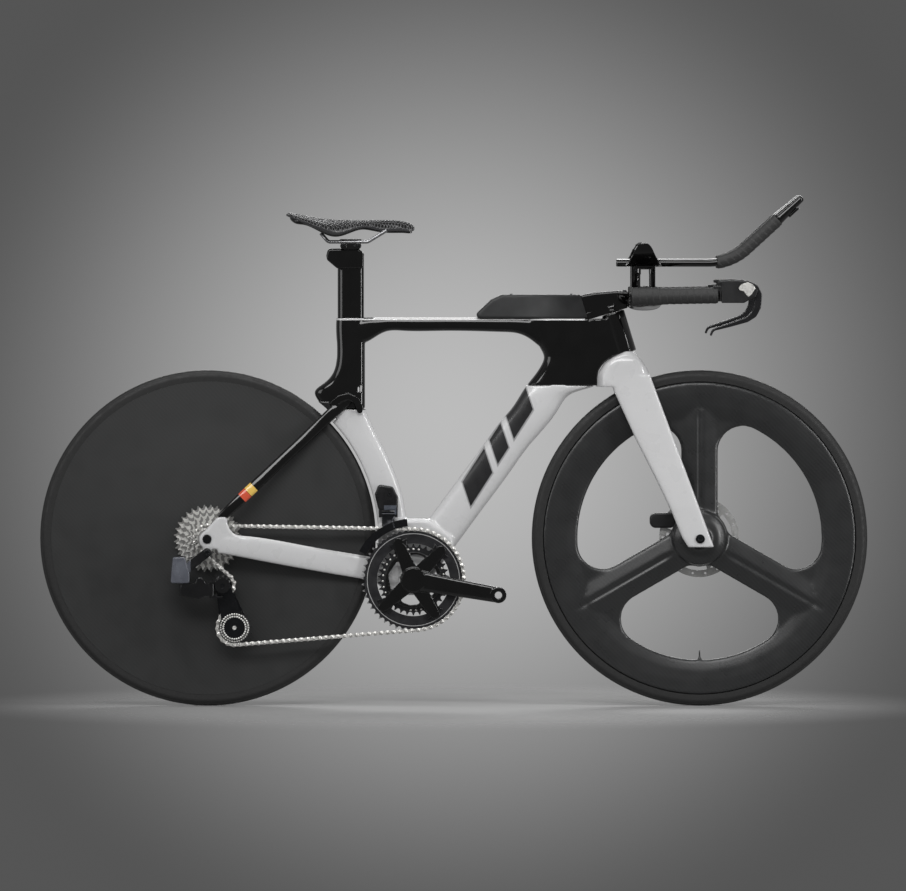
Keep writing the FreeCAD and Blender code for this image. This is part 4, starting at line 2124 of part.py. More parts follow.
def saddle_clamp():
    """Clamp block that holds both rails on the post head."""
    half_long = size.saddle_clamp_length / 2
    low = RAIL_Z - size.saddle_clamp_height * 0.7
    high = RAIL_Z + size.saddle_clamp_height * 0.25
    corners = [Vector(SEAT_X - half_long, 0, low), Vector(SEAT_X - half_long, 0, high),
               Vector(SEAT_X + half_long, 0, high), Vector(SEAT_X + half_long, 0, low)]
    half = size.saddle_clamp_width / 2
    block = slab(corners, size.saddle_clamp_height / 5, -half, half, size.saddle_clamp_height / 10)
    return block.cut(post_solid).cut(rail_solid).cut(mirrored(rail_solid))


post_solid = seatpost()
cover_solid = saddle_cover()
rail_solid = largest_solid(saddle_rail().cut(cover_solid))
keep("seatpost", post_solid)
keep("saddle_rails", pair(rail_solid))
keep("saddle_clamp", saddle_clamp())
keep("saddle_cover", cover_solid)
keep("saddle_shell", saddle_shell())



def write_parts():
    """Checks every object, then writes one file for each sub-part."""
    doc.recompute()
    for item in doc.Objects:
        if "Invalid" in item.State or "Error" in item.State:
            raise RuntimeError(f"{item.Label} failed: {item.State}")
    for item in subparts:
        if item.Shape.isNull() or not item.Shape.isValid() or not item.Shape.Solids:
            raise RuntimeError(f"{item.Label} has no sound shape")
    os.makedirs("parts", exist_ok=True)
    for item in subparts:
        item.Shape.exportStep(os.path.join("parts", item.Label + ".step"))
        print(item.Label, len(item.Shape.Solids), round(item.Shape.Volume / 1000, 2))


write_parts()
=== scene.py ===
# %% [markdown]
# # A time trial bicycle, dressed for a studio picture
# The imported CAD model is loaded as a fixed frame, in metres, and is never moved. Every piece below but
# the floor and the chain's lower run rides on one of its bodies. Most pieces are finer copies of a CAD
# node, so that the joints of the frame move them too.

# %% Load the frame
import json
import math

import bmesh
import bpy
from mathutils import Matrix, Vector
from mathutils.bvhtree import BVHTree


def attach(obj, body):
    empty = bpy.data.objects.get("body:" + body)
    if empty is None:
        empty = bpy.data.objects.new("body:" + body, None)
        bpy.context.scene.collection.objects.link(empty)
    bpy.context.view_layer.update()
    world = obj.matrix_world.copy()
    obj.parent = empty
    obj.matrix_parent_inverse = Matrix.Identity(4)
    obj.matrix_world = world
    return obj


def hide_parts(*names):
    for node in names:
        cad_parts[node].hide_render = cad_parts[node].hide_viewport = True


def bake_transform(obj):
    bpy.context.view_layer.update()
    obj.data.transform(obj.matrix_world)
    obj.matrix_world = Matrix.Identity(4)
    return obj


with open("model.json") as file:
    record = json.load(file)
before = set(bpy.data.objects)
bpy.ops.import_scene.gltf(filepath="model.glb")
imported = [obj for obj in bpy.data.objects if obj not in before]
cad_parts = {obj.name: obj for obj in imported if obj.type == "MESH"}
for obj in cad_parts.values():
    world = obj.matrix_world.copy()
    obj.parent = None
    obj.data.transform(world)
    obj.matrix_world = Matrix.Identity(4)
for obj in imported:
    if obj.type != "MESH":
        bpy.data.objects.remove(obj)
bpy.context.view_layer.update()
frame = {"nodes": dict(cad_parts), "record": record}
nodes = frame["nodes"]
body_of_node = {
    node: body for body, members in frame["record"]["behaviour"]["bodies"].items() for node in members
}
slot_of_node = {part["node"]: part["material_slot"] for part in frame["record"]["subparts"]}
scene = bpy.context.scene

# %% [markdown]
# ## Foam and grip tape
# The arm pads are cut from foam, and the bars are wound with a soft tape that has a dotted grain. An
# image could show both, but it needs an unwrapped surface. A node tree on object coordinates fits any
# shape, so every finish here is one. Numbers that hold all over a surface are set on the shader, and only
# what varies is linked.


# %% Nodes of a finish
def shader(name, colour, rough, **sockets):
    """A material with one principled shader; sockets are given with underscores for spaces."""
    material = bpy.data.materials.new(name)
    material.use_nodes = True
    surface = material.node_tree.nodes["Principled BSDF"]
    surface.inputs["Base Color"].default_value = (*colour, 1)
    surface.inputs["Roughness"].default_value = rough
    for socket, value in sockets.items():
        surface.inputs[socket.replace("_", " ")].default_value = value
    return material, material.node_tree, surface


def add(tree, kind, **settings):
    """A node whose sockets are set by name, and whose own properties are given in capitals."""
    node = tree.nodes.new(kind)
    for key, value in settings.items():
        if key.isupper():
            setattr(node, key.lower(), value)
        else:
            node.inputs[key.replace("_", " ")].default_value = value
    return node


def on_object(tree, kind, **settings):
    """Outputs of a node that reads object coordinates."""
    node = add(tree, kind, **settings)
    tree.links.new(add(tree, "ShaderNodeTexCoord").outputs["Object"], node.inputs["Vector"])
    return node.outputs


print("materials that came with the frame", len(bpy.data.materials))


# %% Foam and grip tape
def cells(tree, scale):
    """Distance to the nearest of scattered cell centres."""
    return on_object(tree, "ShaderNodeTexVoronoi", Scale=scale)["Distance"]


def ramp(tree, factor, stops):
    """Two colours or greys by factor: stops of (position, colour)."""
    node = add(tree, "ShaderNodeValToRGB")
    for element, (position, colour) in zip(node.color_ramp.elements, stops):
        element.position = position
        element.color = (*colour, 1) if isinstance(colour, tuple) else (colour, colour, colour, 1)
    tree.links.new(factor, node.inputs["Fac"])
    return node.outputs["Color"]


def bump(tree, surface, height, strength, distance):
    """Surface relief from a height."""
    node = add(tree, "ShaderNodeBump", Strength=strength, Distance=distance)
    tree.links.new(height, node.inputs["Height"])
    tree.links.new(node.outputs["Normal"], surface.inputs["Normal"])


def dotted(name, colour, rough, scale, stops, strength, distance):
    """A soft surface of small cells, darker and lower at their middles."""
    material, tree, surface = shader(name, colour, rough)
    dots = cells(tree, scale)
    tree.links.new(ramp(tree, dots, stops), surface.inputs["Base Color"])
    bump(tree, surface, dots, strength, distance)
    return material


def show_finishes(*materials):
    """Prints each finish with its number of nodes."""
    for material in materials:
        print(material.name, "nodes", len(material.node_tree.nodes))


PAD = dotted("pad_foam", (0.010, 0.010, 0.010), rough=0.85, scale=900, stops=[(0.0, 0.010), (0.8, 0.02)],
             strength=0.2, distance=0.0004)
TAPE = dotted("grip_tape", (0.02, 0.02, 0.021), rough=0.62, scale=420, stops=[(0.1, 0.011), (0.6, 0.024)],
              strength=0.25, distance=0.0005)
show_finishes(PAD, TAPE)

# %% [markdown]
# ## Bare and dyed metal
# Rotors, bearings, chain and rails are stamped or turned metal, some of it dyed dark. A single grey would
# look like plastic, because the tone and the gloss of real metal wander a little. Noise drives both, and
# one function with four sets of numbers makes four metals.


# %% Metals
NOISE_SPAN = (0.25, 0.75)
DULL_SHARE = 0.88


def noise(tree, scale):
    """Noise on object coordinates."""
    return on_object(tree, "ShaderNodeTexNoise", Scale=scale, Detail=3.0)["Fac"]


def rescale(tree, value, low, high, to_low=0.0, to_high=1.0):
    """A value eased from one span to another."""
    span = add(tree, "ShaderNodeMapRange", INTERPOLATION_TYPE="SMOOTHSTEP", From_Min=low, From_Max=high,
               To_Min=to_low, To_Max=to_high)
    tree.links.new(value, span.inputs["Value"])
    return span.outputs["Result"]


def vary_roughness(tree, surface, scale, low, high):
    """Roughness that wanders between two values, like handled or polished spots."""
    wander = rescale(tree, noise(tree, scale), *NOISE_SPAN, low, high)
    tree.links.new(wander, surface.inputs["Roughness"])


def metal(name, colour, low, high):
    """Metal of one colour, with a roughness between two values."""
    material, tree, surface = shader(name, colour, low, Metallic=0.85)
    dull = tuple(part * DULL_SHARE for part in colour)
    tone = ramp(tree, noise(tree, scale=90), [(0.25, dull), (0.7, colour)])
    tree.links.new(tone, surface.inputs["Base Color"])
    vary_roughness(tree, surface, 220, low, high)
    return material


STEEL = metal("bright_steel", (0.66, 0.66, 0.65), low=0.3, high=0.45)
SILVER = metal("silver_alloy", (0.82, 0.81, 0.78), low=0.34, high=0.5)
RAIL = metal("rail_metal", (0.30, 0.30, 0.31), low=0.2, high=0.34)
ANODISED = metal("dark_anodised", (0.03, 0.031, 0.034), low=0.12, high=0.28)
show_finishes(STEEL, SILVER, RAIL, ANODISED)

# %% [markdown]
# ## Moulded plastic
# The storage box, levers and hoods come out of moulds that leave a faint grain. Modelling that grain
# would cost millions of faces, so it is a bump, and the colour and gloss vary with noise as on the
# metals.


# %% Plastics
PALER_SHARE = 1.5


def moulded_plastic(name, colour, rough):
    """Plastic with a faint grain."""
    material, tree, surface = shader(name, colour, rough)
    paler = tuple(part * PALER_SHARE for part in colour)
    tone = ramp(tree, noise(tree, scale=60), [(0.3, colour), (0.8, paler)])
    tree.links.new(tone, surface.inputs["Base Color"])
    vary_roughness(tree, surface, 35, rough - 0.05, rough + 0.07)
    bump(tree, surface, noise(tree, scale=500), strength=0.04, distance=0.0002)
    return material


BOX = moulded_plastic("box_plastic", (0.016, 0.0165, 0.017), rough=0.5)
SATIN = moulded_plastic("satin_black", (0.007, 0.007, 0.0075), rough=0.35)
LEVER = moulded_plastic("lever_black", (0.008, 0.008, 0.009), rough=0.22)
GLOSS = moulded_plastic("gloss_black", (0.005, 0.005, 0.0055), rough=0.16)
COMPOUND = moulded_plastic("pad_compound", (0.06, 0.05, 0.045), rough=0.8)
show_finishes(BOX, SATIN, LEVER, GLOSS, COMPOUND)

# %% [markdown]
# ## Black lacquer
# The upper frame, bars and seatpost are black and nearly a mirror under a clear coat. The top tube has a
# pale stripe along its upper edge, partly a pinstripe and partly a painted highlight of that edge, and the
# seatstay two colour bands. Thin strips of mesh would flicker on the paint, so stripes and bands are masks
# in the material: a mask is 1 between two limits, and masks multiply where both have to hold.


# %% Stripes and bands
# Pale stripe along the top tube's upper edge: partly a pinstripe, partly a painted highlight of that edge.
HIGHLIGHT_STRIPE_HEIGHT = (0.7718, 0.7756)
HIGHLIGHT_STRIPE_RUN = (-0.2365, 0.262)
STAY_FOOT = (-0.470, 0.380)
STAY_WAY = (0.735, 0.678)
STAY_BANDS = [((0.66, 0.10, 0.05), 0.0605, 0.0765), ((0.78, 0.52, 0.12), 0.0772, 0.0935)]


def maths(tree, operation, first, second=None):
    """One arithmetic step on sockets or numbers."""
    node = add(tree, "ShaderNodeMath", OPERATION=operation)
    for socket, value in zip(node.inputs, (first, second)):
        if isinstance(value, (int, float)):
            socket.default_value = value
        elif value is not None:
            tree.links.new(value, socket)
    return node.outputs[0]


def axes(tree):
    """The three object coordinates as separate sockets."""
    parts = on_object(tree, "ShaderNodeSeparateXYZ")
    return parts["X"], parts["Y"], parts["Z"]


def along(tree, first, second, start, way):
    """Distance from a start point along a direction, on two coordinates."""
    shifted = [maths(tree, "SUBTRACT", value, begin) for value, begin in zip((first, second), start)]
    return maths(tree, "ADD", *[maths(tree, "MULTIPLY", value, share) for value, share in zip(shifted, way)])


def both(tree, first, second):
    """Where two masks overlap."""
    return maths(tree, "MULTIPLY", first, second)


def within(tree, value, low, high, soft):
    """1 between two limits and 0 outside, with a soft edge."""
    rise = rescale(tree, value, low - soft, low + soft)
    fall = rescale(tree, value, high - soft, high + soft, 1.0, 0.0)
    return both(tree, rise, fall)


print("pinstripe length", round(HIGHLIGHT_STRIPE_RUN[1] - HIGHLIGHT_STRIPE_RUN[0], 4), "stay bands", len(STAY_BANDS))


# %% Black lacquer
LACQUER_BLACK = (0.0022, 0.0022, 0.0024)
HIGHLIGHT_STRIPE_GREY = (0.6, 0.6, 0.6)


def mixed(tree, mask, below, above):
    """One of two colours by a mask; each may be a socket."""
    node = add(tree, "ShaderNodeMix", DATA_TYPE="RGBA")
    tree.links.new(mask, node.inputs["Factor"])
    for name, value in (("A", below), ("B", above)):
        socket = [item for item in node.inputs if item.name == name and item.type == "RGBA"][0]
        if isinstance(value, tuple):
            socket.default_value = (*value, 1)
        else:
            tree.links.new(value, socket)
    return [item for item in node.outputs if item.type == "RGBA"][0]


def lacquer(name, bands=(), highlight_stripe=False):
    """Black lacquer that may carry bands along the seatstay, (colour, start, end), or a pale stripe that is
    partly a pinstripe and partly a painted highlight.
    """
    material, tree, surface = shader(name, LACQUER_BLACK, rough=0.12, Coat_Weight=0.8, Coat_Roughness=0.025,
                                     Specular_IOR_Level=0.15)
    tone = ramp(tree, noise(tree, scale=30), [(0.3, 0.0018), (0.7, 0.0032)])
    x, _y, z = axes(tree)
    for colour, start, end in bands:
        mask = within(tree, along(tree, x, z, STAY_FOOT, STAY_WAY), start, end, soft=0.0004)
        tone = mixed(tree, mask, tone, colour)
    if highlight_stripe:
        # Pale stripe on the top tube's upper edge, partly a pinstripe and partly a painted highlight.
        level = within(tree, z, *HIGHLIGHT_STRIPE_HEIGHT, soft=0.0002)
        tone = mixed(tree, both(tree, level, within(tree, x, *HIGHLIGHT_STRIPE_RUN, soft=0.0004)), tone, HIGHLIGHT_STRIPE_GREY)
    tree.links.new(tone, surface.inputs["Base Color"])
    vary_roughness(tree, surface, 40, low=0.08, high=0.17)
    return material


BLACK = lacquer("black_lacquer")
HIGHLIGHT_STRIPED = lacquer("highlight_striped_lacquer", highlight_stripe=True)
STAY = lacquer("stay_lacquer", STAY_BANDS)
CRANK = lacquer("crank_lacquer")
show_finishes(BLACK, HIGHLIGHT_STRIPED, STAY, CRANK)

# %% [markdown]
# ## Pearl paint
# The lower frame and the fork are a pale pearl that stays soft. Its flakes are tiny cells in two close
# tones, which a flat colour would lack. The down tube carries plain slanted bars with a grey border, and
# the paint turns black where the stays and the seat tube's collar begin, so that the seam between the
# paints is crisp on one mesh.


# %% Pearl paint
TUBE_FOOT = (0.010, 0.385)
TUBE_WAY = (0.541, 0.841)
TUBE_ACROSS = (0.841, -0.541)
BARS = ((0.035, 0.115), (0.135, 0.175), (0.195, 0.265))
BAR_WIDTH = (-0.028, 0.012)
BAR_SLANT = 0.8
BAR_LAYERS = ((0.003, (0.34, 0.34, 0.345)), (0.0, (0.012, 0.012, 0.013)))
BAR_SOFT = 0.0003
STAY_ROOT = ((-0.234, -0.235), (0.574, 0.575))
COLLAR = ((-0.14, -0.141), (0.592, 0.5925))
SEAM_BLACK = (0.003, 0.003, 0.003)


def slanted_bars(tree, tint):
    """A colour with the down tube's bars on it: a border first, then the bar."""
    x, _y, z = axes(tree)
    across = along(tree, x, z, TUBE_FOOT, TUBE_ACROSS)
    lean = maths(tree, "MULTIPLY", across, BAR_SLANT)
    up = maths(tree, "ADD", along(tree, x, z, TUBE_FOOT, TUBE_WAY), lean)
    for start, end in BARS:
        for border, colour in BAR_LAYERS:
            mask = both(tree, within(tree, up, start - border, end + border, BAR_SOFT),
                        within(tree, across, BAR_WIDTH[0] - border, BAR_WIDTH[1] + border, BAR_SOFT))
            tint = mixed(tree, mask, tint, colour)
    return tint


def pearl():
    """Pale pearl paint, with slanted bars on the down tube and black corners at the upper frame."""
    material, tree, surface = shader("pearl_paint", (0.7, 0.7, 0.7), rough=0.3, Coat_Weight=0.7,
                                     Coat_Roughness=0.08)
    flakes = ramp(tree, cells(tree, scale=2600), [(0.0, (0.70, 0.70, 0.705)), (0.7, (0.62, 0.62, 0.625))])
    x, _y, z = axes(tree)
    corners = [both(tree, rescale(tree, x, *behind), rescale(tree, z, *above))
               for behind, above in (STAY_ROOT, COLLAR)]
    tint = mixed(tree, maths(tree, "MAXIMUM", *corners), slanted_bars(tree, flakes), SEAM_BLACK)
    tree.links.new(tint, surface.inputs["Base Color"])
    vary_roughness(tree, surface, 30, low=0.24, high=0.36)
    return material


PEARL = pearl()
show_finishes(PEARL)

# %% [markdown]
# ## Woven carbon
# Both wheels show the weave of their carbon under a matt coat. A twill repeats every four tows, one tow
# further on in each row. That is a rule, so a few arithmetic nodes make it, and it stays sharp in a close
# view.


# %% Woven carbon
TOW = 0.0022
TWILL_REPEAT = 4.0
TWILL_WARP = 2.0


def twill(tree):
    """Diagonal weave of square cells in the side view, 1 on a warp cell and 0 on a weft cell."""
    x, _y, z = axes(tree)
    steps = [maths(tree, "FLOOR", maths(tree, "MULTIPLY", value, 1 / TOW)) for value in (x, z)]
    turn = maths(tree, "FLOORED_MODULO", maths(tree, "ADD", *steps), TWILL_REPEAT)
    return maths(tree, "LESS_THAN", turn, TWILL_WARP)


def woven_carbon(name, dark, light, rough):
    """Carbon cloth in two tones under a matt coat."""
    material, tree, surface = shader(name, dark, rough, Coat_Weight=0.2, Coat_Roughness=0.35)
    tree.links.new(ramp(tree, twill(tree), [(0.0, dark), (1.0, light)]), surface.inputs["Base Color"])
    vary_roughness(tree, surface, 25, rough - 0.05, rough + 0.06)
    return material


DISC = woven_carbon("disc_carbon", (0.013, 0.0135, 0.0135), (0.017, 0.0175, 0.0175), rough=0.5)
SPOKES = woven_carbon("spoke_carbon", (0.016, 0.0165, 0.017), (0.021, 0.0215, 0.022), rough=0.3)
show_finishes(DISC, SPOKES)

# %% [markdown]
# ## Chainrings and sprockets
# The chainrings are dark, with a painted highlight at the tooth tips and a painted highlight line near the
# rim, so their tone follows the distance from the crank axis. The sprockets lie side by side and catch the
# light by turns, so their tone follows the width: alternate sprockets carry painted highlight and painted
# shade. Separate materials for each ring would say the same with more slots.


# %% Chainrings and sprockets
BRACKET_AXIS = (-0.0806, 0.2538)
# Painted highlights on the chainrings: a band at the tooth tips and a thin line near the rim.
TOOTH_HIGHLIGHT = (0.0985, 0.1015)
TOOTH_HIGHLIGHT_SHARE = 0.5
HIGHLIGHT_LINE = (0.0915, 0.0928)
HIGHLIGHT_LINE_GREY = (0.5, 0.5, 0.5)
SPROCKET_PITCH = 0.00355


def radius_about(tree, centre):
    """Distance from an axis along Y through a point (x, z)."""
    x, _y, z = axes(tree)
    squares = [maths(tree, "POWER", maths(tree, "SUBTRACT", value, begin), 2.0)
               for value, begin in zip((x, z), centre)]
    return maths(tree, "SQRT", maths(tree, "ADD", *squares))


def ring_metal():
    """Dark chainrings with a painted highlight at the tooth tips and a painted highlight line near the rim.
    """
    material, tree, surface = shader("ring_metal", (0.02, 0.02, 0.022), rough=0.36, Metallic=0.3)
    reach = radius_about(tree, BRACKET_AXIS)
    # Painted highlight at the tooth tips and on a thin line near the rim.
    tooth_highlight = rescale(tree, reach, *TOOTH_HIGHLIGHT, 0.0, TOOTH_HIGHLIGHT_SHARE)
    bright = maths(tree, "MAXIMUM", tooth_highlight, within(tree, reach, *HIGHLIGHT_LINE, soft=0.0002))
    tone = ramp(tree, noise(tree, scale=60), [(0.3, (0.018, 0.018, 0.02)), (0.7, (0.026, 0.026, 0.028))])
    tree.links.new(mixed(tree, bright, tone, HIGHLIGHT_LINE_GREY), surface.inputs["Base Color"])
    vary_roughness(tree, surface, 60, low=0.28, high=0.42)
    return material


def sprocket_metal():
    """Cassette steel whose tone steps from one sprocket to the next, as painted highlight and painted shade
    by turns.
    """
    material, tree, surface = shader("sprocket_steel", (0.8, 0.79, 0.77), rough=0.4, Metallic=0.8)
    _x, y, _z = axes(tree)
    turn = maths(tree, "FLOOR", maths(tree, "DIVIDE", y, SPROCKET_PITCH))
    highlight_turn = maths(tree, "FLOORED_MODULO", turn, 2.0)
    # Alternate sprockets get a painted highlight, and the others painted shade.
    tone = mixed(tree, highlight_turn, (0.34, 0.335, 0.325), (0.9, 0.89, 0.86))
    tree.links.new(tone, surface.inputs["Base Color"])
    vary_roughness(tree, surface, 150, low=0.3, high=0.46)
    return material


RINGS = ring_metal()
SPROCKETS = sprocket_metal()
show_finishes(RINGS, SPROCKETS)

# %% [markdown]
# ## Shifters
# Each electric shifter is a black body with a paler motor housing. The CAD body is one solid, so the
# housing is a block of another colour inside its material, cut off by a mask at the place where the real
# parts meet.


# %% Shifters
SHIFTER_BLACK = (0.006, 0.006, 0.007)
REAR_MOTOR_FACE = (-0.524, -0.5255)
REAR_MOTOR_GREYS = [(0.3, (0.085, 0.09, 0.11)), (0.7, (0.14, 0.15, 0.175))]
FRONT_MOTOR_RUN = (-0.139, -0.115)
FRONT_MOTOR_HEIGHT = (0.384, 0.402)
FRONT_MOTOR_GREY = (0.30, 0.33, 0.40)
MOTOR_SOFT = 0.0004


def rear_shifter():
    """Black body of the rear shifter with a blue-grey motor housing at its rear end."""
    material, tree, surface = shader("rear_motor", SHIFTER_BLACK, rough=0.3)
    x, _y, _z = axes(tree)
    grey = ramp(tree, noise(tree, scale=35), REAR_MOTOR_GREYS)
    tone = mixed(tree, rescale(tree, x, *REAR_MOTOR_FACE), SHIFTER_BLACK, grey)
    tree.links.new(tone, surface.inputs["Base Color"])
    vary_roughness(tree, surface, 50, low=0.2, high=0.32)
    return material


def front_shifter():
    """Black body of the front shifter with a bright motor housing."""
    material, tree, surface = shader("front_motor", SHIFTER_BLACK, rough=0.25)
    x, _y, z = axes(tree)
    block = both(tree, within(tree, x, *FRONT_MOTOR_RUN, MOTOR_SOFT),
                 within(tree, z, *FRONT_MOTOR_HEIGHT, MOTOR_SOFT))
    tree.links.new(mixed(tree, block, SHIFTER_BLACK, FRONT_MOTOR_GREY), surface.inputs["Base Color"])
    tree.links.new(block, surface.inputs["Metallic"])
    vary_roughness(tree, surface, 50, low=0.2, high=0.34)
    return material


REAR_SHIFTER = rear_shifter()
FRONT_SHIFTER = front_shifter()
show_finishes(REAR_SHIFTER, FRONT_SHIFTER)

# %% [markdown]
# ## Tyres
# Tyres are matt black rubber, with a slightly paler line where the tread meets the side wall. The line
# lies at one distance from the wheel's middle plane, so a mask on the width draws it all round.


# %% Tyre rubber
SHOULDER = (0.0085, 0.0095)
SHOULDER_GREY = (0.03, 0.03, 0.03)


def tyre_rubber():
    """Black rubber with a paler shoulder line."""
    material, tree, surface = shader("tyre_rubber", (0.012, 0.012, 0.012), rough=0.6)
    tone = ramp(tree, noise(tree, scale=160), [(0.3, 0.007), (0.8, 0.013)])
    _x, y, _z = axes(tree)
    shoulder = within(tree, maths(tree, "ABSOLUTE", y), *SHOULDER, soft=0.0004)
    tree.links.new(mixed(tree, shoulder, tone, SHOULDER_GREY), surface.inputs["Base Color"])
    vary_roughness(tree, surface, 120, low=0.5, high=0.68)
    bump(tree, surface, noise(tree, scale=900), strength=0.12, distance=0.0003)
    return material


TYRE = tyre_rubber()
show_finishes(TYRE)

# %% [markdown]
# ## CAD pieces with smooth faces
# Posts, rotors, sprockets and calipers already have their true shape in the CAD model, so modelling them
# again would only add errors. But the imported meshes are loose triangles, which shade flat. A welded copy
# with its sharp edges kept shades like the real surface, and a narrow bevel lets its edges catch the
# light.


# %% Pieces and their meshes
WELD = 2e-6
SHARP_ANGLE = math.radians(32)


def mesh_piece(name, mesh, material, body, *stands_for, slot=None):
    """A mesh as a piece that may ride on a body and may stand for CAD nodes."""
    mesh.name = name
    mesh.materials.clear()
    mesh.materials.append(material)
    piece = bpy.data.objects.new(name, mesh)
    scene.collection.objects.link(piece)
    if body:
        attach(piece, body)
    if stands_for:
        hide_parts(*stands_for)
    return piece


def joined(members):
    """Several nodes' meshes in one bmesh with shared vertices."""
    work = bmesh.new()
    for member in members:
        work.from_mesh(nodes[member].data)
    bmesh.ops.remove_doubles(work, verts=work.verts, dist=WELD)
    return work


def smooth_mesh(work, name):
    """Mesh with smooth faces and kept sharp edges, from a bmesh that is freed."""
    mesh = bpy.data.meshes.new(name)
    work.to_mesh(mesh)
    work.free()
    mesh.polygons.foreach_set("use_smooth", [True] * len(mesh.polygons))
    mesh.set_sharp_from_angle(angle=SHARP_ANGLE)
    return mesh


print("material slots in the record", len(set(slot_of_node.values())))

# %% [markdown]
# ## Edges that catch the light
# No real edge is perfectly sharp, and a narrow rounding is what shines along a caliper or an axle. It could
# be modelled by hand, but the Bevel modifier finds every sharp edge by its angle. Each mesh gets its
# modifiers on a passing draft object, so that the piece itself starts as a plain mesh.


# %% Bevelled edges
FINE = 0.0004
WIDE = 0.0008
FLAT_ANGLE = math.radians(0.4)


def drafted(mesh):
    """A mesh as a passing object, which can take modifiers."""
    draft = bpy.data.objects.new("draft", mesh)
    scene.collection.objects.link(draft)
    return draft


def baked(draft):
    """The plain mesh that a draft's modifiers make; the draft goes, and its modifiers with it."""
    graph = bpy.context.evaluated_depsgraph_get()
    mesh = bpy.data.meshes.new_from_object(draft.evaluated_get(graph))
    old = draft.data
    bpy.data.objects.remove(draft)
    bpy.data.meshes.remove(old)
    return mesh


def bevelled(mesh, width, segments=2, **settings):
    """The mesh with its sharp edges rounded."""
    draft = drafted(mesh)
    modifier = draft.modifiers.new("edge", "BEVEL")
    modifier.width = width
    modifier.segments = segments
    for name, value in settings.items():
        setattr(modifier, name, value)
    return baked(draft)


def dress(node, material, edge=0.0):
    """Stands a welded, smooth copy in for a CAD node."""
    work = joined([node])
    if edge:
        bmesh.ops.dissolve_limit(work, angle_limit=FLAT_ANGLE, verts=work.verts, edges=work.edges)
    mesh = smooth_mesh(work, node)
    if edge:
        mesh = bevelled(mesh, edge, limit_method="ANGLE", angle_limit=SHARP_ANGLE, harden_normals=True)
    return mesh_piece(node + "_skin", mesh, material, body_of_node[node], node)


print("bevel widths", FINE, WIDE)

# %% [markdown]
# ## One finish for each node
# Every part of the bicycle that keeps its CAD shape gets its finish and its edge here. Forty separate calls
# would hide which part has which finish, so a table lists them, and one loop makes the copies.

# %% Welded copies
WELDED = [
    ("seatpost", BLACK, WIDE), ("seat_clamp", SATIN, FINE), ("storage_box", BOX, 0), ("stem", BLACK, 0),
    ("base_bar", BLACK, 0), ("seatstays", STAY, 0), ("frame_bearings", STEEL, 0),
    ("rear_hub_bearings", STEEL, 0), ("front_hub_bearings", STEEL, 0), ("rear_disc_wheel", DISC, 0),
    ("rear_tyre", TYRE, 0), ("front_tyre", TYRE, 0), ("rear_rotor", STEEL, 0), ("front_rotor", STEEL, 0),
    ("rear_thru_axle", ANODISED, FINE), ("front_thru_axle", ANODISED, FINE), ("chainrings", RINGS, 0),
    ("cassette", SPROCKETS, 0), ("freehub_body", STEEL, 0), ("rear_derailleur_body", REAR_SHIFTER, WIDE),
    ("rear_derailleur_outer_link", GLOSS, WIDE), ("rear_derailleur_inner_link", GLOSS, FINE),
    ("rear_derailleur_knuckle", GLOSS, FINE), ("rear_derailleur_cage", ANODISED, FINE),
    ("guide_pulley", SATIN, 0), ("tension_pulley", SATIN, 0), ("front_derailleur_body", FRONT_SHIFTER, WIDE),
    ("front_derailleur_cage", ANODISED, 0), ("front_brake_caliper", SATIN, WIDE),
    ("rear_brake_caliper", SATIN, WIDE), ("extensions", BLACK, 0), ("shifter_bodies", BLACK, 0),
    ("left_shift_button", BLACK, FINE), ("right_shift_button", BLACK, FINE), ("saddle_rails", RAIL, 0),
    ("saddle_shell", BLACK, 0),
    ("front_brake_pad_outer", COMPOUND, 0), ("front_brake_pad_inner", COMPOUND, 0),
    ("rear_brake_pad_outer", COMPOUND, 0), ("rear_brake_pad_inner", COMPOUND, 0),
]
for node, material, edge in WELDED:
    dress(node, material, edge)
print("welded copies", len(WELDED))

# %% [markdown]
# ## Chain
# A real chain runs round the rings and follows the pulley cage when it swings. One stiff copy would be
# left behind by the cage, so this one is cut in three: the links round the two pulleys ride on the cage,
# the lower run is a piece of its own on no body, and the rest stays with the frame.


# %% Chain
CAGE_FRONT = -0.425
CAGE_TOP = 0.262
RUN_FRONT = -0.085
RUN_TOP = 0.19


def on_cage(spot):
    """Whether a point of the chain lies round the two pulleys."""
    return spot.x < CAGE_FRONT and spot.z < CAGE_TOP


def on_run(spot):
    """Whether a point of the chain lies on the lower run."""
    return CAGE_FRONT <= spot.x < RUN_FRONT and spot.z < RUN_TOP


def on_frame(spot):
    """Whether a point of the chain stays with the frame."""
    return not on_cage(spot) and not on_run(spot)


def show_piece(piece):
    """Prints a piece's number of faces, and hands it on."""
    print(piece.name, "faces", len(piece.data.polygons))
    return piece


def chain_share(name, holds, body):
    """A piece of the chain's faces whose middle a test holds for."""
    work = joined(["chain"])
    away = [face for face in work.faces if not holds(face.calc_center_median())]
    bmesh.ops.delete(work, geom=away, context="FACES")
    return show_piece(mesh_piece(name, smooth_mesh(work, name), SILVER, body, "chain"))


chain_share("cage_links", on_cage, "pulley_cage")
chain_share("chain_skin", on_frame, body_of_node["chain"])
lower_run = chain_share("lower_run", on_run, None)
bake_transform(lower_run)

# %% [markdown]
# ## Mouldings
# Down tube, lower seat tube, bracket shell and chainstays are one lay-up on the real frame, and so are
# the crank with its spider and each lever. Fillets on every join could do it, but they fail where several
# tubes meet. A voxel remesh that is then relaxed lets the joins flow into each other: a small voxel keeps
# the form, and the number of rounds sets how soft its edges get.


# %% Moulded skins
RELAX_SHARE = 0.5


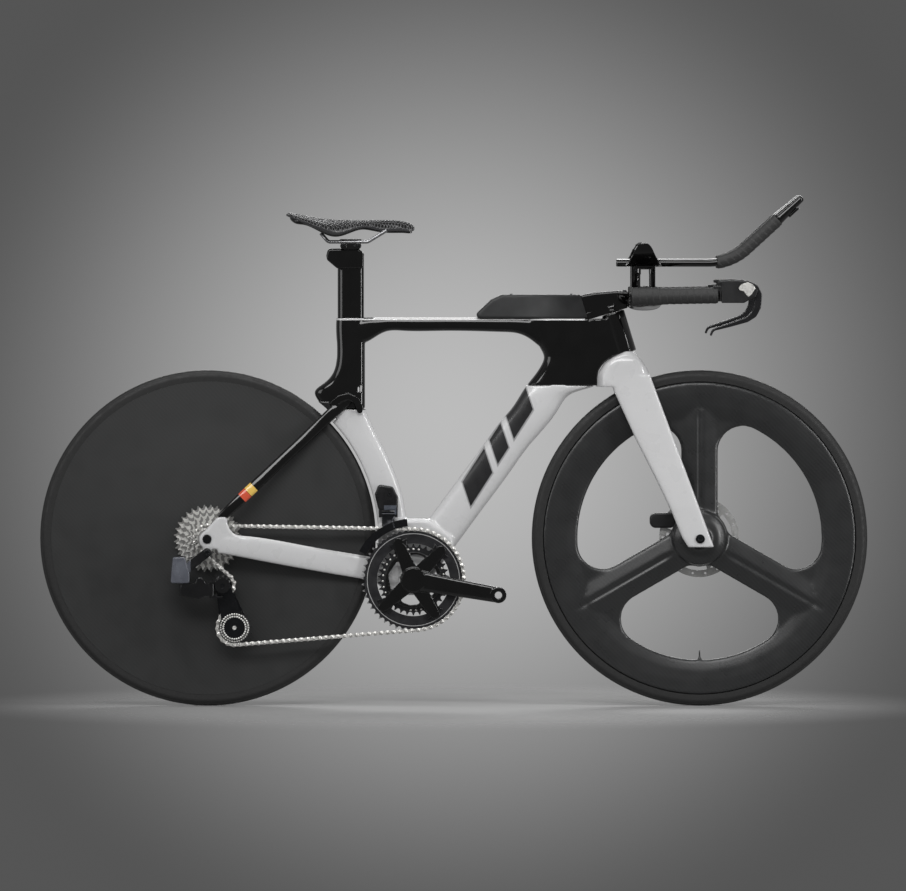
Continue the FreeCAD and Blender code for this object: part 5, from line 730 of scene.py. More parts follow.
def remeshed(mesh, voxel, rounds):
    """The mesh as one even skin, relaxed for some rounds."""
    draft = drafted(mesh)
    skin = draft.modifiers.new("skin", "REMESH")
    skin.mode = "VOXEL"
    skin.voxel_size = voxel
    skin.use_smooth_shade = True
    relax = draft.modifiers.new("relax", "SMOOTH")
    relax.factor = RELAX_SHARE
    relax.iterations = rounds
    return baked(draft)


def moulded(name, members, material, voxel, rounds, work=None):
    """One smooth skin over several nodes of a body, or over a bmesh that stands for them."""
    mesh = remeshed(smooth_mesh(work or joined(members), name), voxel, rounds)
    return show_piece(mesh_piece(name, mesh, material, body_of_node[members[0]], *members))


UPPER_FRAME = ["head_tube_block", "seat_tube_upper", "top_tube"]
LOWER_FRAME = ["down_tube", "seat_tube_lower", "bottom_bracket_shell", "chainstays"]
moulded("upper_frame", UPPER_FRAME, HIGHLIGHT_STRIPED, voxel=0.0017, rounds=8)
moulded("lower_frame", LOWER_FRAME, PEARL, voxel=0.0022, rounds=6)
moulded("crank_skin", ["crank_arms"], CRANK, voxel=0.0011, rounds=3)
for side in ("left", "right"):
    moulded(side + "_lever_skin", [side + "_brake_lever"], LEVER, voxel=0.0008, rounds=10)

# %% [markdown]
# ## Fork
# The fork has two blades with flat cheeks, a crown that stays clear of the tyre and inside the round
# space under the head tube, and the steerer. A box with subdivision would round the cheeks away, so it is
# lofted from level sections instead. Tables give the edges by height, in millimetres: (height, place).


# %% Edges of the fork
MM_PER_METRE = 1000
REAR_EDGE = [(319, 468), (338, 456), (418, 423), (542, 360), (628, 321), (662, 312)]
FRONT_EDGE = [(319, 520), (661, 393), (677, 386), (695, 373.6), (710, 360)]
OUTER_FACE = [(319, 65), (340, 65), (400, 62.3), (500, 54.2), (600, 47.9), (662, 44)]
INNER_FACE = [(319, 49.7), (340, 49.7), (400, 45.6), (500, 38), (600, 31.5), (662, 27)]
BLADE_LEVELS = (319, 338, 370, 400, 450, 500, 542, 600, 628, 650, 662)
CROWN_REAR = [(638, 283), (663, 287), (684, 300), (698, 317), (706.5, 335), (711, 345)]
CROWN_WIDTH = [(638, 45), (690, 43), (700, 40), (711, 30)]
CROWN_ROOM = [(638, 80), (660, 73), (680, 65), (700, 50), (711, 38)]
CROWN_LEVELS = (639, 645, 651, 657, 663, 670, 677, 684, 691, 698, 703, 707, 710)
STEERER_AXIS = [(600, 375.7), (830, 305.5)]
STEERER_RADIUS = 14.2
STEERER_LEVELS = (690, 820)
FRONT_AXLE = (492, 336)
TYRE_ARCH = 342
BOXY = 5.0
ROUND = 2.0
SECTION_STEPS = 40


def by_height(table, height):
    """A table's value at a height, with straight lines between its rows."""
    for (low, first), (high, second) in zip(table, table[1:]):
        if height <= high:
            return first + (second - first) * max(0.0, height - low) / (high - low)
    return table[-1][1]


print("blade width at the axle", by_height(OUTER_FACE, FRONT_AXLE[1]) - by_height(INNER_FACE, FRONT_AXLE[1]))


# %% Sections of the fork
def level_section(span, sides, height, power=BOXY):
    """Points of a box with round corners at one height."""
    middle = [sum(pair) / 2 for pair in (span, sides)]
    half = [abs(pair[1] - pair[0]) / 2 for pair in (span, sides)]
    points = []
    for step in range(SECTION_STEPS):
        turn = math.tau * step / SECTION_STEPS
        way = (math.cos(turn), math.sin(turn))
        x, y = [m + h * math.copysign(abs(w) ** (2 / power), w) for m, h, w in zip(middle, half, way)]
        points.append((x, y, height))
    return points


def blade_section(side, z):
    """Section of one blade, on the right (-1) or the left (1)."""
    span = (by_height(REAR_EDGE, z), by_height(FRONT_EDGE, z))
    return level_section(span, (side * by_height(INNER_FACE, z), side * by_height(OUTER_FACE, z)), z)


def crown_section(z):
    """Section of the crown, behind the tyre's arch and no wider than the room about the steerer."""
    arch = FRONT_AXLE[0] - math.sqrt(max(0.0, TYRE_ARCH ** 2 - (z - FRONT_AXLE[1]) ** 2))
    span = (by_height(CROWN_REAR, z), min(arch, by_height(FRONT_EDGE, z)))
    wide = by_height(CROWN_WIDTH, z)
    axis = by_height(STEERER_AXIS, z)
    room = by_height(CROWN_ROOM, z)
    points = []
    for x, y, _z in level_section(span, (-wide, wide), z):
        most = math.sqrt(max(1.0, room ** 2 - (x - axis) ** 2))
        points.append((x, math.copysign(min(abs(y), most), y), z))
    return points


def steerer_section(z):
    """Round section of the steerer."""
    span = [by_height(STEERER_AXIS, z) + side * STEERER_RADIUS for side in (-1, 1)]
    return level_section(span, (-STEERER_RADIUS, STEERER_RADIUS), z, ROUND)


print("points in a section", len(blade_section(1, BLADE_LEVELS[0])), "crown sections", len(CROWN_LEVELS))


# %% Fork
def skinned(work, rings):
    """Faces between rings of vertices of equal count, with both ends closed."""
    for low, high in zip(rings, rings[1:]):
        for step in range(len(low)):
            after = (step + 1) % len(low)
            work.faces.new((low[step], low[after], high[after], high[step]))
    work.faces.new(list(reversed(rings[0])))
    work.faces.new(rings[-1])


def loft(work, sections):
    """A closed solid through sections of equal count, given in millimetres."""
    skinned(work, [[work.verts.new([part / MM_PER_METRE for part in spot]) for spot in section]
                   for section in sections])


def fork_form():
    """Blades, crown and steerer as one bmesh."""
    work = bmesh.new()
    for side in (-1, 1):
        loft(work, [blade_section(side, z) for z in BLADE_LEVELS])
    loft(work, [crown_section(z) for z in CROWN_LEVELS])
    loft(work, [steerer_section(z) for z in STEERER_LEVELS])
    return work


moulded("fork_skin", ["fork"], PEARL, voxel=0.0018, rounds=7, work=fork_form())

# %% [markdown]
# ## Front wheel
# Each of the three spokes has a shallow valley along its middle, which splits its highlight. A bump would
# show no edge against the light, so the remeshed wheel is pressed in there, deepest in the middle and
# eased at both ends.


# %% Front wheel
SPOKE_ANGLES = (90, 210, 330)
VALLEY_START, VALLEY_END = 0.05, 0.29
VALLEY_EASE_IN, VALLEY_EASE_OUT = 0.03, 0.05
VALLEY_HALF = 0.0055
VALLEY_SHARE = 0.3


def heading(degrees):
    """Direction of an angle in the side view."""
    return math.cos(math.radians(degrees)), math.sin(math.radians(degrees))


def creased(piece):
    """Sinks a valley along the middle of every spoke."""
    axle = [part / MM_PER_METRE for part in FRONT_AXLE]
    for vertex in piece.data.vertices:
        x, z = vertex.co.x - axle[0], vertex.co.z - axle[1]
        for degrees in SPOKE_ANGLES:
            way = heading(degrees)
            run = x * way[0] + z * way[1]
            off = x * way[1] - z * way[0]
            if VALLEY_START < run < VALLEY_END:
                ease = min(1.0, (run - VALLEY_START) / VALLEY_EASE_IN, (VALLEY_END - run) / VALLEY_EASE_OUT)
                vertex.co.y *= 1 - VALLEY_SHARE * ease * math.exp(-(off / VALLEY_HALF) ** 2)


creased(moulded("spoke_wheel", ["front_wheel"], SPOKES, voxel=0.0026, rounds=16))

# %% [markdown]
# ## Saddle
# The cushion is a printed lattice of small cells. Thousands of modelled cells would be too heavy, and a
# bump would lie flat at the rim, so Geometry Nodes sink a honeycomb of holes into a fine remesh of the
# CAD cushion. The distance to the nearest of two shifted grids of centres is a honeycomb's. The tree also
# keeps how deep each point lies, and the finish reads that to darken the holes with painted shade.


# %% Lattice finish
def lattice():
    """Printed lattice: shiny, slightly paler walls round holes darkened with painted shade, by the hole
    value that the honeycomb leaves.
    """
    material, tree, surface = shader("saddle_lattice", (0.02, 0.02, 0.021), rough=0.3)
    depth = add(tree, "ShaderNodeAttribute", ATTRIBUTE_NAME="hole").outputs["Fac"]
    # Painted shade: the deeper a point lies in a hole, the darker it is.
    tone = mixed(tree, rescale(tree, depth, 0.15, 0.7), (0.04, 0.04, 0.042), (0.0015, 0.0015, 0.0015))
    tree.links.new(tone, surface.inputs["Base Color"])
    tree.links.new(rescale(tree, depth, 0.1, 0.6, 0.28, 0.9), surface.inputs["Roughness"])
    return material


SADDLE = lattice()
show_finishes(SADDLE)


# %% Geometry trees
def node_group(name, *inputs):
    """An empty geometry tree with named inputs, its input sockets and its output socket."""
    tree = bpy.data.node_groups.new(name, "GeometryNodeTree")
    tree.interface.new_socket("Geometry", in_out="INPUT", socket_type="NodeSocketGeometry")
    for label, kind in inputs:
        tree.interface.new_socket(label, in_out="INPUT", socket_type=kind)
    tree.interface.new_socket("Geometry", in_out="OUTPUT", socket_type="NodeSocketGeometry")
    given = tree.nodes.new("NodeGroupInput").outputs
    return tree, given, tree.nodes.new("NodeGroupOutput").inputs["Geometry"]


def painted(tree, geometry, finish, result):
    """Ends a tree: copies made real, and one finish over all of it."""
    real = tree.nodes.new("GeometryNodeRealizeInstances")
    tree.links.new(geometry, real.inputs[0])
    paint = tree.nodes.new("GeometryNodeSetMaterial")
    tree.links.new(real.outputs[0], paint.inputs["Geometry"])
    tree.links.new(finish, paint.inputs["Material"])
    tree.links.new(paint.outputs[0], result)


def grown(mesh, tree, **values):
    """The plain mesh that a geometry tree makes of another, with the tree's named inputs set."""
    draft = drafted(mesh)
    modifier = draft.modifiers.new("grow", "NODES")
    modifier.node_group = tree
    for item in tree.interface.items_tree:
        if item.in_out == "INPUT" and item.name in values:
            modifier[item.identifier] = values[item.name]
    return baked(draft)


print("geometry trees so far", len(bpy.data.node_groups))

# %% Honeycomb
CELL_MIDDLE = 0.5
HOLE_SHARES = (0.26, 0.44)
LOOKS_UP = (-0.1, 0.25)


def parted(tree, vector):
    """A vector's three parts."""
    node = add(tree, "ShaderNodeSeparateXYZ")
    tree.links.new(vector, node.inputs[0])
    return node.outputs


def grid_distance(tree, places, spacings, shift):
    """Distance to the nearest centre of a grid that is shifted by a share of its spacing."""
    squares = []
    for place, spacing in zip(places, spacings):
        turn = maths(tree, "FRACT", maths(tree, "ADD", maths(tree, "DIVIDE", place, spacing), shift))
        off = maths(tree, "MULTIPLY", maths(tree, "SUBTRACT", turn, CELL_MIDDLE), spacing)
        squares.append(maths(tree, "POWER", off, 2.0))
    return maths(tree, "SQRT", maths(tree, "ADD", *squares))


def honeycomb():
    """Tree that sinks honeycomb holes into the faces that look up."""
    tree, given, result = node_group("honeycomb", ("Cell", "NodeSocketFloat"), ("Depth", "NodeSocketFloat"),
                                     ("Finish", "NodeSocketMaterial"))
    places = parted(tree, tree.nodes.new("GeometryNodeInputPosition").outputs[0])
    normal = tree.nodes.new("GeometryNodeInputNormal").outputs[0]
    spacings = (given["Cell"], maths(tree, "MULTIPLY", given["Cell"], math.sqrt(3)))
    nearest = [grid_distance(tree, places, spacings, shift) for shift in (0.0, CELL_MIDDLE)]
    share = maths(tree, "DIVIDE", maths(tree, "MINIMUM", *nearest), given["Cell"])
    hole = both(tree, rescale(tree, share, *HOLE_SHARES, 1.0, 0.0),
                rescale(tree, parted(tree, normal)["Z"], *LOOKS_UP))
    offset = add(tree, "ShaderNodeVectorMath", OPERATION="SCALE")
    tree.links.new(normal, offset.inputs[0])
    tree.links.new(maths(tree, "MULTIPLY", hole, maths(tree, "MULTIPLY", given["Depth"], -1.0)),
                   offset.inputs["Scale"])
    keep = add(tree, "GeometryNodeStoreNamedAttribute", DATA_TYPE="FLOAT", DOMAIN="POINT", Name="hole")
    tree.links.new(given["Geometry"], keep.inputs["Geometry"])
    tree.links.new(hole, keep.inputs["Value"])
    move = tree.nodes.new("GeometryNodeSetPosition")
    tree.links.new(keep.outputs["Geometry"], move.inputs["Geometry"])
    tree.links.new(offset.outputs[0], move.inputs["Offset"])
    painted(tree, move.outputs[0], given["Finish"], result)
    return tree


cushion = remeshed(smooth_mesh(joined(["saddle_cover"]), "saddle_cushion"), voxel=0.0011, rounds=5)
cushion = grown(cushion, honeycomb(), Cell=0.0062, Depth=0.0022, Finish=SADDLE)
saddle = mesh_piece("saddle_cushion", cushion, SADDLE, body_of_node["saddle_cover"], "saddle_cover")
show_piece(saddle)

# %% [markdown]
# ## Arm rests
# Each arm lies in a shell with a foam pad, whose wings are drawn in towards their tops like a bell. The
# CAD shells have straight wings, so both the shell and its pad are narrowed by height with one rule, and
# stay in contact. The foam is firm, so it is remeshed and needs no cloth simulation.


# %% Arm rests
CUP_MIDDLE = 0.378
CUP_FOOT = 0.879
CUP_HEIGHT = 0.048
CUP_FLARE = 1.16
CUP_DRAW = 0.52


def bell(piece):
    """Draws the wings of an arm rest in towards their tops, as in a bell's outline."""
    for vertex in piece.data.vertices:
        share = min(1.0, max(0.0, (vertex.co.z - CUP_FOOT) / CUP_HEIGHT))
        vertex.co.x = CUP_MIDDLE + (vertex.co.x - CUP_MIDDLE) * (CUP_FLARE - CUP_DRAW * share)
    return piece


bell(dress("arm_cups", BLACK))
arm_pads = bell(moulded("arm_cushions", ["arm_pads"], PAD, voxel=0.0016, rounds=4))

# %% [markdown]
# ## Grip tape
# The tape is wound, and each turn overlaps the one before, which makes a shallow step. A separate ribbon
# would cut into itself, so the radius of the CAD sleeve follows a saw wave along a helix, and swells at
# the rear end of the base bar's grips.


# %% Grip tape
WRAP = 0.0135
STEP = 0.0009
GRIP_SIDE = 0.15
SWELL_AT = 0.392
SWELL_REACH = 0.02
SWELL = 0.0028
EXTENSION_RISE = math.radians(42.5)


def wound(piece):
    """Winds the tape's surface: along X on the base bar, and up the slope of the extensions."""
    vertices = piece.data.vertices
    turns = [(vertex.co.copy(), vertex.normal.copy()) for vertex in vertices]
    for vertex, (spot, normal) in zip(vertices, turns):
        if abs(spot.y) > GRIP_SIDE:
            run = spot.x
            swell = SWELL * math.exp(-((spot.x - SWELL_AT) / SWELL_REACH) ** 2)
        else:
            run = spot.x * math.cos(EXTENSION_RISE) + spot.z * math.sin(EXTENSION_RISE)
            swell = 0
        phase = run / WRAP + math.atan2(normal.y, normal.z) / math.tau
        vertex.co = spot + normal * (STEP * (phase - math.floor(phase)) + swell)


wound(moulded("grip_wrap", ["grip_tape"], TAPE, voxel=0.0013, rounds=2))

# %% [markdown]
# ## Hoods
# A hood holds each brake lever's pivot at the end of the base bar. It is two cheeks beside a shorter
# core, so that the lever has its slot. Sculpting would be hard to repeat, so the layers are plain
# outlines in side view, in millimetres, and the remesh melts them into one rounded body.


# %% Hoods
HOOD = [(525, 852), (560, 853), (580, 851), (594, 845), (602, 833), (598, 820), (585, 814), (575, 808),
        (531, 808), (531, 845), (525, 846)]
HOOD_CORE = [(525, 852), (560, 853), (580, 851), (590, 847), (572, 838), (566, 808), (531, 808), (531, 811),
             (514, 811), (514, 842), (531, 842), (531, 845), (525, 846)]
HOOD_MIDDLES = (-0.2, 0.2)
CORE_HALF = 0.0085
CHEEK_INNER = 0.0065
CHEEK_OUTER = 0.0135


def prism(work, outline, right, left):
    """A solid with an outline in the side view, in millimetres, between two widths in metres."""
    corners = [work.verts.new((x / MM_PER_METRE, right, z / MM_PER_METRE)) for x, z in outline]
    face = work.faces.new(corners)
    raised = bmesh.ops.extrude_face_region(work, geom=[face])
    tops = [item for item in raised["geom"] if isinstance(item, bmesh.types.BMVert)]
    bmesh.ops.translate(work, verts=tops, vec=(0, left - right, 0))
    bmesh.ops.recalc_face_normals(work, faces=work.faces)


def hoods():
    """Both hoods as one bmesh."""
    work = bmesh.new()
    for middle in HOOD_MIDDLES:
        prism(work, HOOD_CORE, middle - CORE_HALF, middle + CORE_HALF)
        prism(work, HOOD, middle - CHEEK_OUTER, middle - CHEEK_INNER)
        prism(work, HOOD, middle + CHEEK_INNER, middle + CHEEK_OUTER)
    return work


moulded("hood_skin", ["brake_lever_bodies"], SATIN, voxel=0.001, rounds=4, work=hoods())

# %% [markdown]
# ## Stem spacer
# A thin wedge fills the space between the stem and the head tube block, and turns with the bar. Four
# corners in side view are its whole shape, so it is one extruded outline with bevelled edges.

# %% Stem spacer
SPACER = [(262, 770.6), (348, 796.8), (343.6, 811.1), (257.6, 784.9)]
SPACER_HALF = 0.0185
spacer = bmesh.new()
prism(spacer, SPACER, -SPACER_HALF, SPACER_HALF)
spacer_mesh = bevelled(smooth_mesh(spacer, "stem_spacer"), width=0.002, segments=3)
show_piece(mesh_piece("stem_spacer", spacer_mesh, BLACK, "steering", slot=slot_of_node["stem"]))

# %% [markdown]
# ## Saddle clamp
# A cradle grips the saddle's rails, with a round barrel across each end for its bolts. Both are outlines
# in side view again, and the remesh joins them as a casting does.


# %% Saddle clamp
CRADLE = [(-227, 934), (-185, 934), (-181, 930), (-188, 925), (-193, 913), (-219, 913), (-224, 925),
          (-231, 930)]
CRADLE_HALF = 0.0225
BARRELS = [(-220.5, 920.5), (-191.5, 920.5)]
BARREL_RADIUS = 6.5
BARREL_HALF = 0.0285
BARREL_STEPS = 24


def circle(steps):
    """Angles round a circle."""
    return [math.tau * step / steps for step in range(steps)]


def rail_clamp():
    """Cradle of the saddle's rails with two barrels across."""
    work = bmesh.new()
    prism(work, CRADLE, -CRADLE_HALF, CRADLE_HALF)
    for x, z in BARRELS:
        outline = [(x + BARREL_RADIUS * math.cos(turn), z + BARREL_RADIUS * math.sin(turn))
                   for turn in circle(BARREL_STEPS)]
        prism(work, outline, -BARREL_HALF, BARREL_HALF)
    return work


moulded("clamp_skin", ["saddle_clamp"], GLOSS, voxel=0.0008, rounds=2, work=rail_clamp())

# %% [markdown]
# ## Arm risers
# Two posts lift the arm rests above the base bar, and each has a window through it. The welded CAD posts
# stay as they are, and a boolean with one long block cuts both windows at once.


# %% Arm risers
WINDOW = [(372, 832), (392, 832), (392, 874), (372, 874)]
WINDOW_HALF = 0.2


def windowed(mesh):
    """The mesh with the window cut through both risers."""
    cut = bmesh.new()
    prism(cut, WINDOW, -WINDOW_HALF, WINDOW_HALF)
    cutter = drafted(smooth_mesh(cut, "window"))
    draft = drafted(mesh)
    modifier = draft.modifiers.new("window", "BOOLEAN")
    modifier.operation = "DIFFERENCE"
    modifier.solver = "EXACT"
    modifier.object = cutter
    pierced = baked(draft)
    bpy.data.objects.remove(cutter)
    return pierced


risers = windowed(smooth_mesh(joined(["arm_risers"]), "arm_risers"))
show_piece(mesh_piece("arm_risers_skin", risers, BLACK, body_of_node["arm_risers"], "arm_risers"))

# %% [markdown]
# ## Bolts
# Socket bolts hold the calipers, stem, shifters and clamp. Placing each by hand would leave some sunk and
# some in the air, so a ray finds its spot on the surface. Geometry Nodes then put one bolt on every spot,
# turned to the surface and scaled to its own size, in one piece for each body.


# %% Bolt head and scatter tree
BOLT_PROFILE = [(0.98, -0.3), (1.0, 0.45), (0.93, 0.62), (0.6, 0.66), (0.56, 0.62), (0.5, 0.1)]
BOLT_STEPS = 24
SOCKET_REACH = 0.58
HEX_HALF = math.pi / 6


def revolve(profile, steps, name):
    """Mesh of a (radius, height) profile turned round Z."""
    work = bmesh.new()
    skinned(work, [[work.verts.new((radius * math.cos(turn), radius * math.sin(turn), height))
                    for turn in circle(steps)] for radius, height in profile])
    return smooth_mesh(work, name)


def socket_bolt():
    """A unit socket bolt: rounded head with a six-sided recess."""
    mesh = revolve(BOLT_PROFILE, BOLT_STEPS, "bolt")
    for vertex in mesh.vertices:
        if math.hypot(vertex.co.x, vertex.co.y) < SOCKET_REACH:
            turn = math.atan2(vertex.co.y, vertex.co.x) % (2 * HEX_HALF) - HEX_HALF
            share = math.cos(HEX_HALF) / math.cos(turn)
            vertex.co.x *= share
            vertex.co.y *= share
    return bpy.data.objects.new("bolt_head", mesh)


def scatter():
    """Tree that puts a copy of a part on every point, turned and scaled by the point's own values."""
    tree, given, result = node_group("scatter", ("Part", "NodeSocketObject"),
                                     ("Finish", "NodeSocketMaterial"))
    part = tree.nodes.new("GeometryNodeObjectInfo")
    tree.links.new(given["Part"], part.inputs["Object"])
    facing = add(tree, "GeometryNodeInputNamedAttribute", DATA_TYPE="FLOAT_VECTOR", Name="facing")
    size = add(tree, "GeometryNodeInputNamedAttribute", DATA_TYPE="FLOAT", Name="size")
    turn = add(tree, "FunctionNodeAlignRotationToVector", AXIS="Z")
    tree.links.new(facing.outputs["Attribute"], turn.inputs["Vector"])
    copies = tree.nodes.new("GeometryNodeInstanceOnPoints")
    tree.links.new(given["Geometry"], copies.inputs["Points"])
    tree.links.new(part.outputs["Geometry"], copies.inputs["Instance"])
    tree.links.new(turn.outputs["Rotation"], copies.inputs["Rotation"])
    tree.links.new(size.outputs["Attribute"], copies.inputs["Scale"])
    painted(tree, copies.outputs[0], given["Finish"], result)
    return tree


SCATTER = scatter()
print("scatter nodes", len(SCATTER.nodes))


# %% Spots on the surface
FROM_RIGHT = (0, 1, 0)
FROM_LEFT = (0, -1, 0)
FROM_ABOVE = (0, 0, -1)
CLEAR_SIDE = 0.3
CLEAR_TOP = 1.2
surfaces = {}


def surface_spot(node, place, way):
    """Where a ray first meets a CAD node or a piece, with the normal there.

    The place is (x, z) for a ray from a side and (x, y) for one from above.
    """
    if node not in surfaces:
        mesh = (nodes.get(node) or bpy.data.objects[node]).data
        corners = [vertex.co for vertex in mesh.vertices]
        surfaces[node] = BVHTree.FromPolygons(corners, [face.vertices for face in mesh.polygons])
    start = (*place, CLEAR_TOP) if way == FROM_ABOVE else (place[0], -CLEAR_SIDE * way[1], place[1])
    spot, normal, _face, _reach = surfaces[node].ray_cast(Vector(start), Vector(way))
    return spot, normal


def scattered(name, seeds, part, material, body, slot):
    """One piece with a copy of a part on each seed: (spot, normal, size)."""
    mesh = bpy.data.meshes.new(name)
    mesh.from_pydata([spot for spot, _normal, _size in seeds], [], [])
    facing = mesh.attributes.new("facing", "FLOAT_VECTOR", "POINT")
    facing.data.foreach_set("vector", [value for _spot, normal, _size in seeds for value in normal])
    sizes = mesh.attributes.new("size", "FLOAT", "POINT")
    sizes.data.foreach_set("value", [size for _spot, _normal, size in seeds])
    copies = grown(mesh, SCATTER, Part=part, Finish=material)
    return show_piece(mesh_piece(name, copies, material, body, slot=slot))


print("storage box lid", surface_spot("storage_box", (0.235, -0.004), FROM_ABOVE)[0])

# %% Bolts
TENSION_AXIS = (-0.4377, 0.1583)
AXLE_END = tuple(part / MM_PER_METRE for part in FRONT_AXLE)
BARREL_ENDS = [(x / MM_PER_METRE, z / MM_PER_METRE) for x, z in BARRELS]
BOLTS = {
    "frame_bolts": (ANODISED, "dark_metal", "frame", [
        ("rear_derailleur_body", (-0.492, 0.309), FROM_RIGHT, 0.0058),
        ("front_derailleur_body", (-0.1285, 0.424), FROM_RIGHT, 0.0036),
        ("rear_brake_caliper", (-0.436, 0.389), FROM_LEFT, 0.0036),
        ("rear_brake_caliper", (-0.420, 0.355), FROM_LEFT, 0.0036),
        ("storage_box", (0.235, -0.004), FROM_ABOVE, 0.0028),
        ("storage_box", (0.115, -0.004), FROM_ABOVE, 0.0028),
    ]),
    "steering_bolts": (ANODISED, "dark_metal", "steering", [
        ("stem", (0.342, 0.011), FROM_ABOVE, 0.0036), ("stem", (0.342, -0.011), FROM_ABOVE, 0.0036),
        ("front_brake_caliper", (0.405, 0.370), FROM_LEFT, 0.0036),
        ("front_brake_caliper", (0.445, 0.370), FROM_LEFT, 0.0036),
        ("arm_risers", (0.363, 0.872), FROM_RIGHT, 0.0032),
        ("arm_risers", (0.363, 0.872), FROM_LEFT, 0.0032),
        ("fork_skin", AXLE_END, FROM_RIGHT, 0.0068), ("fork_skin", AXLE_END, FROM_LEFT, 0.0068),
    ]),
    "crank_bolts": (ANODISED, "dark_metal", "crankset", [("crank_arms", BRACKET_AXIS, FROM_LEFT, 0.0105)]),
    "cage_bolts": (SILVER, "bearing_steel", "pulley_cage", [
        ("rear_derailleur_cage", TENSION_AXIS, FROM_RIGHT, 0.0042),
    ]),
    "saddle_bolts": (ANODISED, "dark_metal", "seat", [
        ("clamp_skin", end, way, 0.003) for way in (FROM_RIGHT, FROM_LEFT) for end in BARREL_ENDS
    ]),
}
head = socket_bolt()
for name, (material, slot, body, places) in BOLTS.items():
    found = [(*surface_spot(node, place, way), radius) for node, place, way, radius in places]
    seeds = [seed for seed in found if seed[0] is not None]
    scattered(name, seeds, head, material, body, slot)
    print(name, len(seeds), "of", len(places))
bpy.data.objects.remove(head)

# %% [markdown]
# ## Beads
# Small bright domes mark the ramp pins on the inner chainring and the turned edge round the lower pulley.
# At this size a dome of a few dozen faces is enough, and the tree that places the bolts scatters them
# too.


# %% Beads
DOME_PROFILE = [(0.9, -0.4), (1.0, 0.0), (0.85, 0.35), (0.5, 0.55), (0.1, 0.6)]
DOME_STEPS = 12
PIN_ANGLES = [10, 22, 80, 90, 100, *range(128, 210, 11), 265, 275, 285]
OUTER_EDGE, INNER_EDGE = 0.0275, 0.0225
FACING_RIGHT = (0, -1, 0)


def ring_places(centre, radius, angles):
    """Places in the side view, at a radius and some angles about an axis."""
    return [tuple(middle + radius * part for middle, part in zip(centre, heading(angle)))
            for angle in angles]


BEADS = {
    "ring_pins": ("crankset", 0.0023, ["chainrings"], ring_places(BRACKET_AXIS, 0.061, PIN_ANGLES)),
    "pulley_edge": ("pulley_cage", 0.0021, ["rear_derailleur_cage", "tension_pulley"],
                    ring_places(TENSION_AXIS, OUTER_EDGE, range(0, 360, 10))
                    + ring_places(TENSION_AXIS, INNER_EDGE, range(5, 365, 12))),
}
dome = bpy.data.objects.new("dome", revolve(DOME_PROFILE, DOME_STEPS, "dome"))
for name, (body, radius, targets, places) in BEADS.items():
    seeds = []
    for place in places:
        hits = [surface_spot(target, place, FROM_RIGHT)[0] for target in targets]
        first = sorted((spot for spot in hits if spot is not None), key=lambda spot: spot.y)[:1]
        seeds.extend((spot, FACING_RIGHT, radius) for spot in first)
    scattered(name, seeds, dome, SILVER, body, "bearing_steel")
    print(name, len(seeds), "of", len(places))
bpy.data.objects.remove(dome)

# %% [markdown]
# ## Pivot covers
# A bright heart-shaped plate covers each lever pivot. A flat picture of it on the hood would catch no
# light at its rim, so its outline, a short list of corners in millimetres, is extruded over the hood's
# side and bevelled.


# %% Pivot covers
COVER = [(563.9, 838.3), (569.0, 844.7), (576.0, 847.0), (582.4, 849.4), (592.6, 844.1), (597.0, 836.7),
         (590.5, 826.0), (583.8, 820.0), (578.8, 824.0), (575.0, 830.8), (566.2, 833.0)]
COVER_INNER = 0.2125
COVER_OUTER = 0.2148


def pivot_covers():
    """Plates on the outer sides of both hoods."""
    work = bmesh.new()
    for side in (-1, 1):
        prism(work, COVER, side * COVER_INNER, side * COVER_OUTER)
    mesh = bevelled(smooth_mesh(work, "pivot_covers"), width=0.0007)
    return mesh_piece("pivot_covers", mesh, SILVER, "steering", slot="bearing_steel")


show_piece(pivot_covers())

# %% [markdown]
# ## Spider webs
# The crank's spider widens into a web where each arm meets the large ring. Each web is a wedge, written
# once along its arm and turned to four angles. It lies just behind the arm's face, so that the arm stands
# out from it.


# %% Spider webs
SPIDER_ANGLES = (47, 112, 222, 302)
WEB = [(40, -7), (60, -9), (82, -19), (82, 19), (60, 9), (40, 7)]
WEB_PROBE = 0.06
WEB_FACE = 0.0015
WEB_DEPTH = 0.0045


def web_outline(way):
    """The wedge along one arm, in millimetres."""
    x, z = [part * MM_PER_METRE for part in BRACKET_AXIS]
    return [(x + run * way[0] - off * way[1], z + run * way[1] + off * way[0]) for run, off in WEB]


def spider_webs():
    """Four wedges under the spider's arms."""
    work = bmesh.new()
    for degrees in SPIDER_ANGLES:
        place = ring_places(BRACKET_AXIS, WEB_PROBE, [degrees])[0]
        spot, _normal = surface_spot("crank_skin", place, FROM_RIGHT)
        prism(work, web_outline(heading(degrees)), spot.y + WEB_FACE, spot.y + WEB_DEPTH)
    mesh = bevelled(smooth_mesh(work, "spider_webs"), width=0.0012)
    return mesh_piece("spider_webs", mesh, GLOSS, "crankset", slot=slot_of_node["crank_arms"])


show_piece(spider_webs())

# %% [markdown]
# ## Floor
# The bicycle stands on a pale floor that fades into a grey backdrop. A floor with an edge would draw a
# line across the picture, so this one is a disc that grows clear towards its rim.


# %% Floor
FLOOR_RADIUS = 1.1
FLOOR_STEPS = 96
FLOOR_FADE = (0.35, 1.05)


